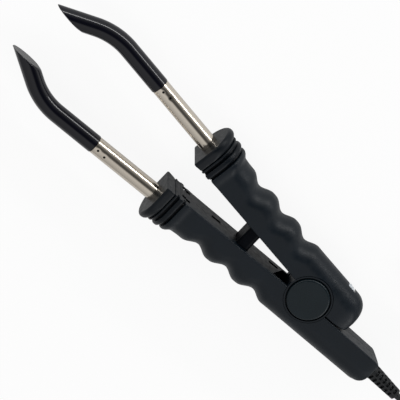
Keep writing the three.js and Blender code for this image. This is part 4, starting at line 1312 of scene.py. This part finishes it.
# Carried-over inner pieces: the end of a node's name, or the whole, and its material
CARRIED = {
    "heater": "ceramic",
    "heater_holder": "ceramic",
    "heater_sleeve": "sleeve",
    "pivot_bolt": "zinc",
    "pivot_nut": "zinc",
    "pivot_bush": "brass",
    "potentiometer": "zinc",
    "control_board": "board",
    "terminal_block": "ceramic",
}
for node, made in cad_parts.items():
    material = "zinc" if "_screw_" in node else None
    for ending, of_ending in CARRIED.items():
        if node.endswith(ending):
            material = of_ending
    if material:
        made.data.materials.clear()
        made.data.materials.append(MATERIALS[material])


# Floor
def make_floor():
    size = 3.0
    mesh = bpy.data.meshes.new("Floor")
    corners = [(-size, -size, -0.0003), (size, -size, -0.0003), (size, size, -0.0003), (-size, size, -0.0003)]
    mesh.from_pydata(corners, [], [(0, 1, 2, 3)])
    floor = linked("Floor", mesh)
    mesh.materials.append(pale_floor("FloorWhite"))


make_floor()


# Light: strip and softboxes as (name, place, width, height, watts), and the surroundings
LAMPS = (
    ("StripSoftbox", (1.12, 0.05, 0.42), 1.3, 0.08, 6.0),
    ("FrontSoftbox", (0.3, 0.95, 0.6), 0.8, 0.4, 2.5),
    ("TailSoftbox", (-0.2, -1.0, 0.75), 0.8, 0.4, 4.5),
)
LAMP_AIM = (0.0, 0.06, 0.0)


def area_lamp(name, place, width, height, watts):
    data = bpy.data.lights.new(name, "AREA")
    data.shape = "RECTANGLE"
    data.size = width
    data.size_y = height
    data.energy = watts
    lamp = linked(name, data)
    lamp.location = place
    lamp.rotation_mode = "QUATERNION"
    lamp.rotation_quaternion = (Vector(LAMP_AIM) - Vector(place)).to_track_quat("-Z", "Y")


# World brightness round the long axis of the iron, in degrees from straight up toward +X: a bright side
# on the left, a dark gap overhead and a bright panel on the right with a soft edge, in dim surroundings.
# Most angles and levels were taken from the brightness that the photo shows across the fixed barrel
SURROUND = 0.4
LEFT_SIDE = 0.85
DARK_GAP = 0.1
PANEL = 1.3
WORLD_ARC = (
    (-180, SURROUND),
    (-115, SURROUND),
    (-25, LEFT_SIDE),
    (-11, LEFT_SIDE),
    (4, DARK_GAP),
    (25, DARK_GAP),
    (50, 0.4),
    (60, 1.1),
    (84, PANEL),
    (96, 0.8),
    (180, SURROUND),
)


def arc_world():
    world = bpy.data.worlds.new("World")
    world.use_nodes = True
    tree = world.node_tree
    place = tree.nodes.new("ShaderNodeTexCoord")
    split = tree.nodes.new("ShaderNodeSeparateXYZ")
    tree.links.new(place.outputs["Generated"], split.inputs["Vector"])
    scale = tree.nodes.new("ShaderNodeMapRange")
    scale.inputs["From Min"].default_value = -math.pi
    scale.inputs["From Max"].default_value = math.pi
    turn = calculate(tree, "ARCTAN2", split.outputs["X"], split.outputs["Z"])
    tree.links.new(turn, scale.inputs["Value"])
    background = tree.nodes["Background"].inputs
    background["Strength"].default_value = PANEL
    stops = [((degrees + 180) / 360, strength / PANEL) for degrees, strength in WORLD_ARC]
    drive(tree, background["Color"], scale.outputs["Result"], *stops)
    scene.world = world


arc_world()
for lamp in LAMPS:
    area_lamp(*lamp)
scene.view_settings.view_transform = "Standard"
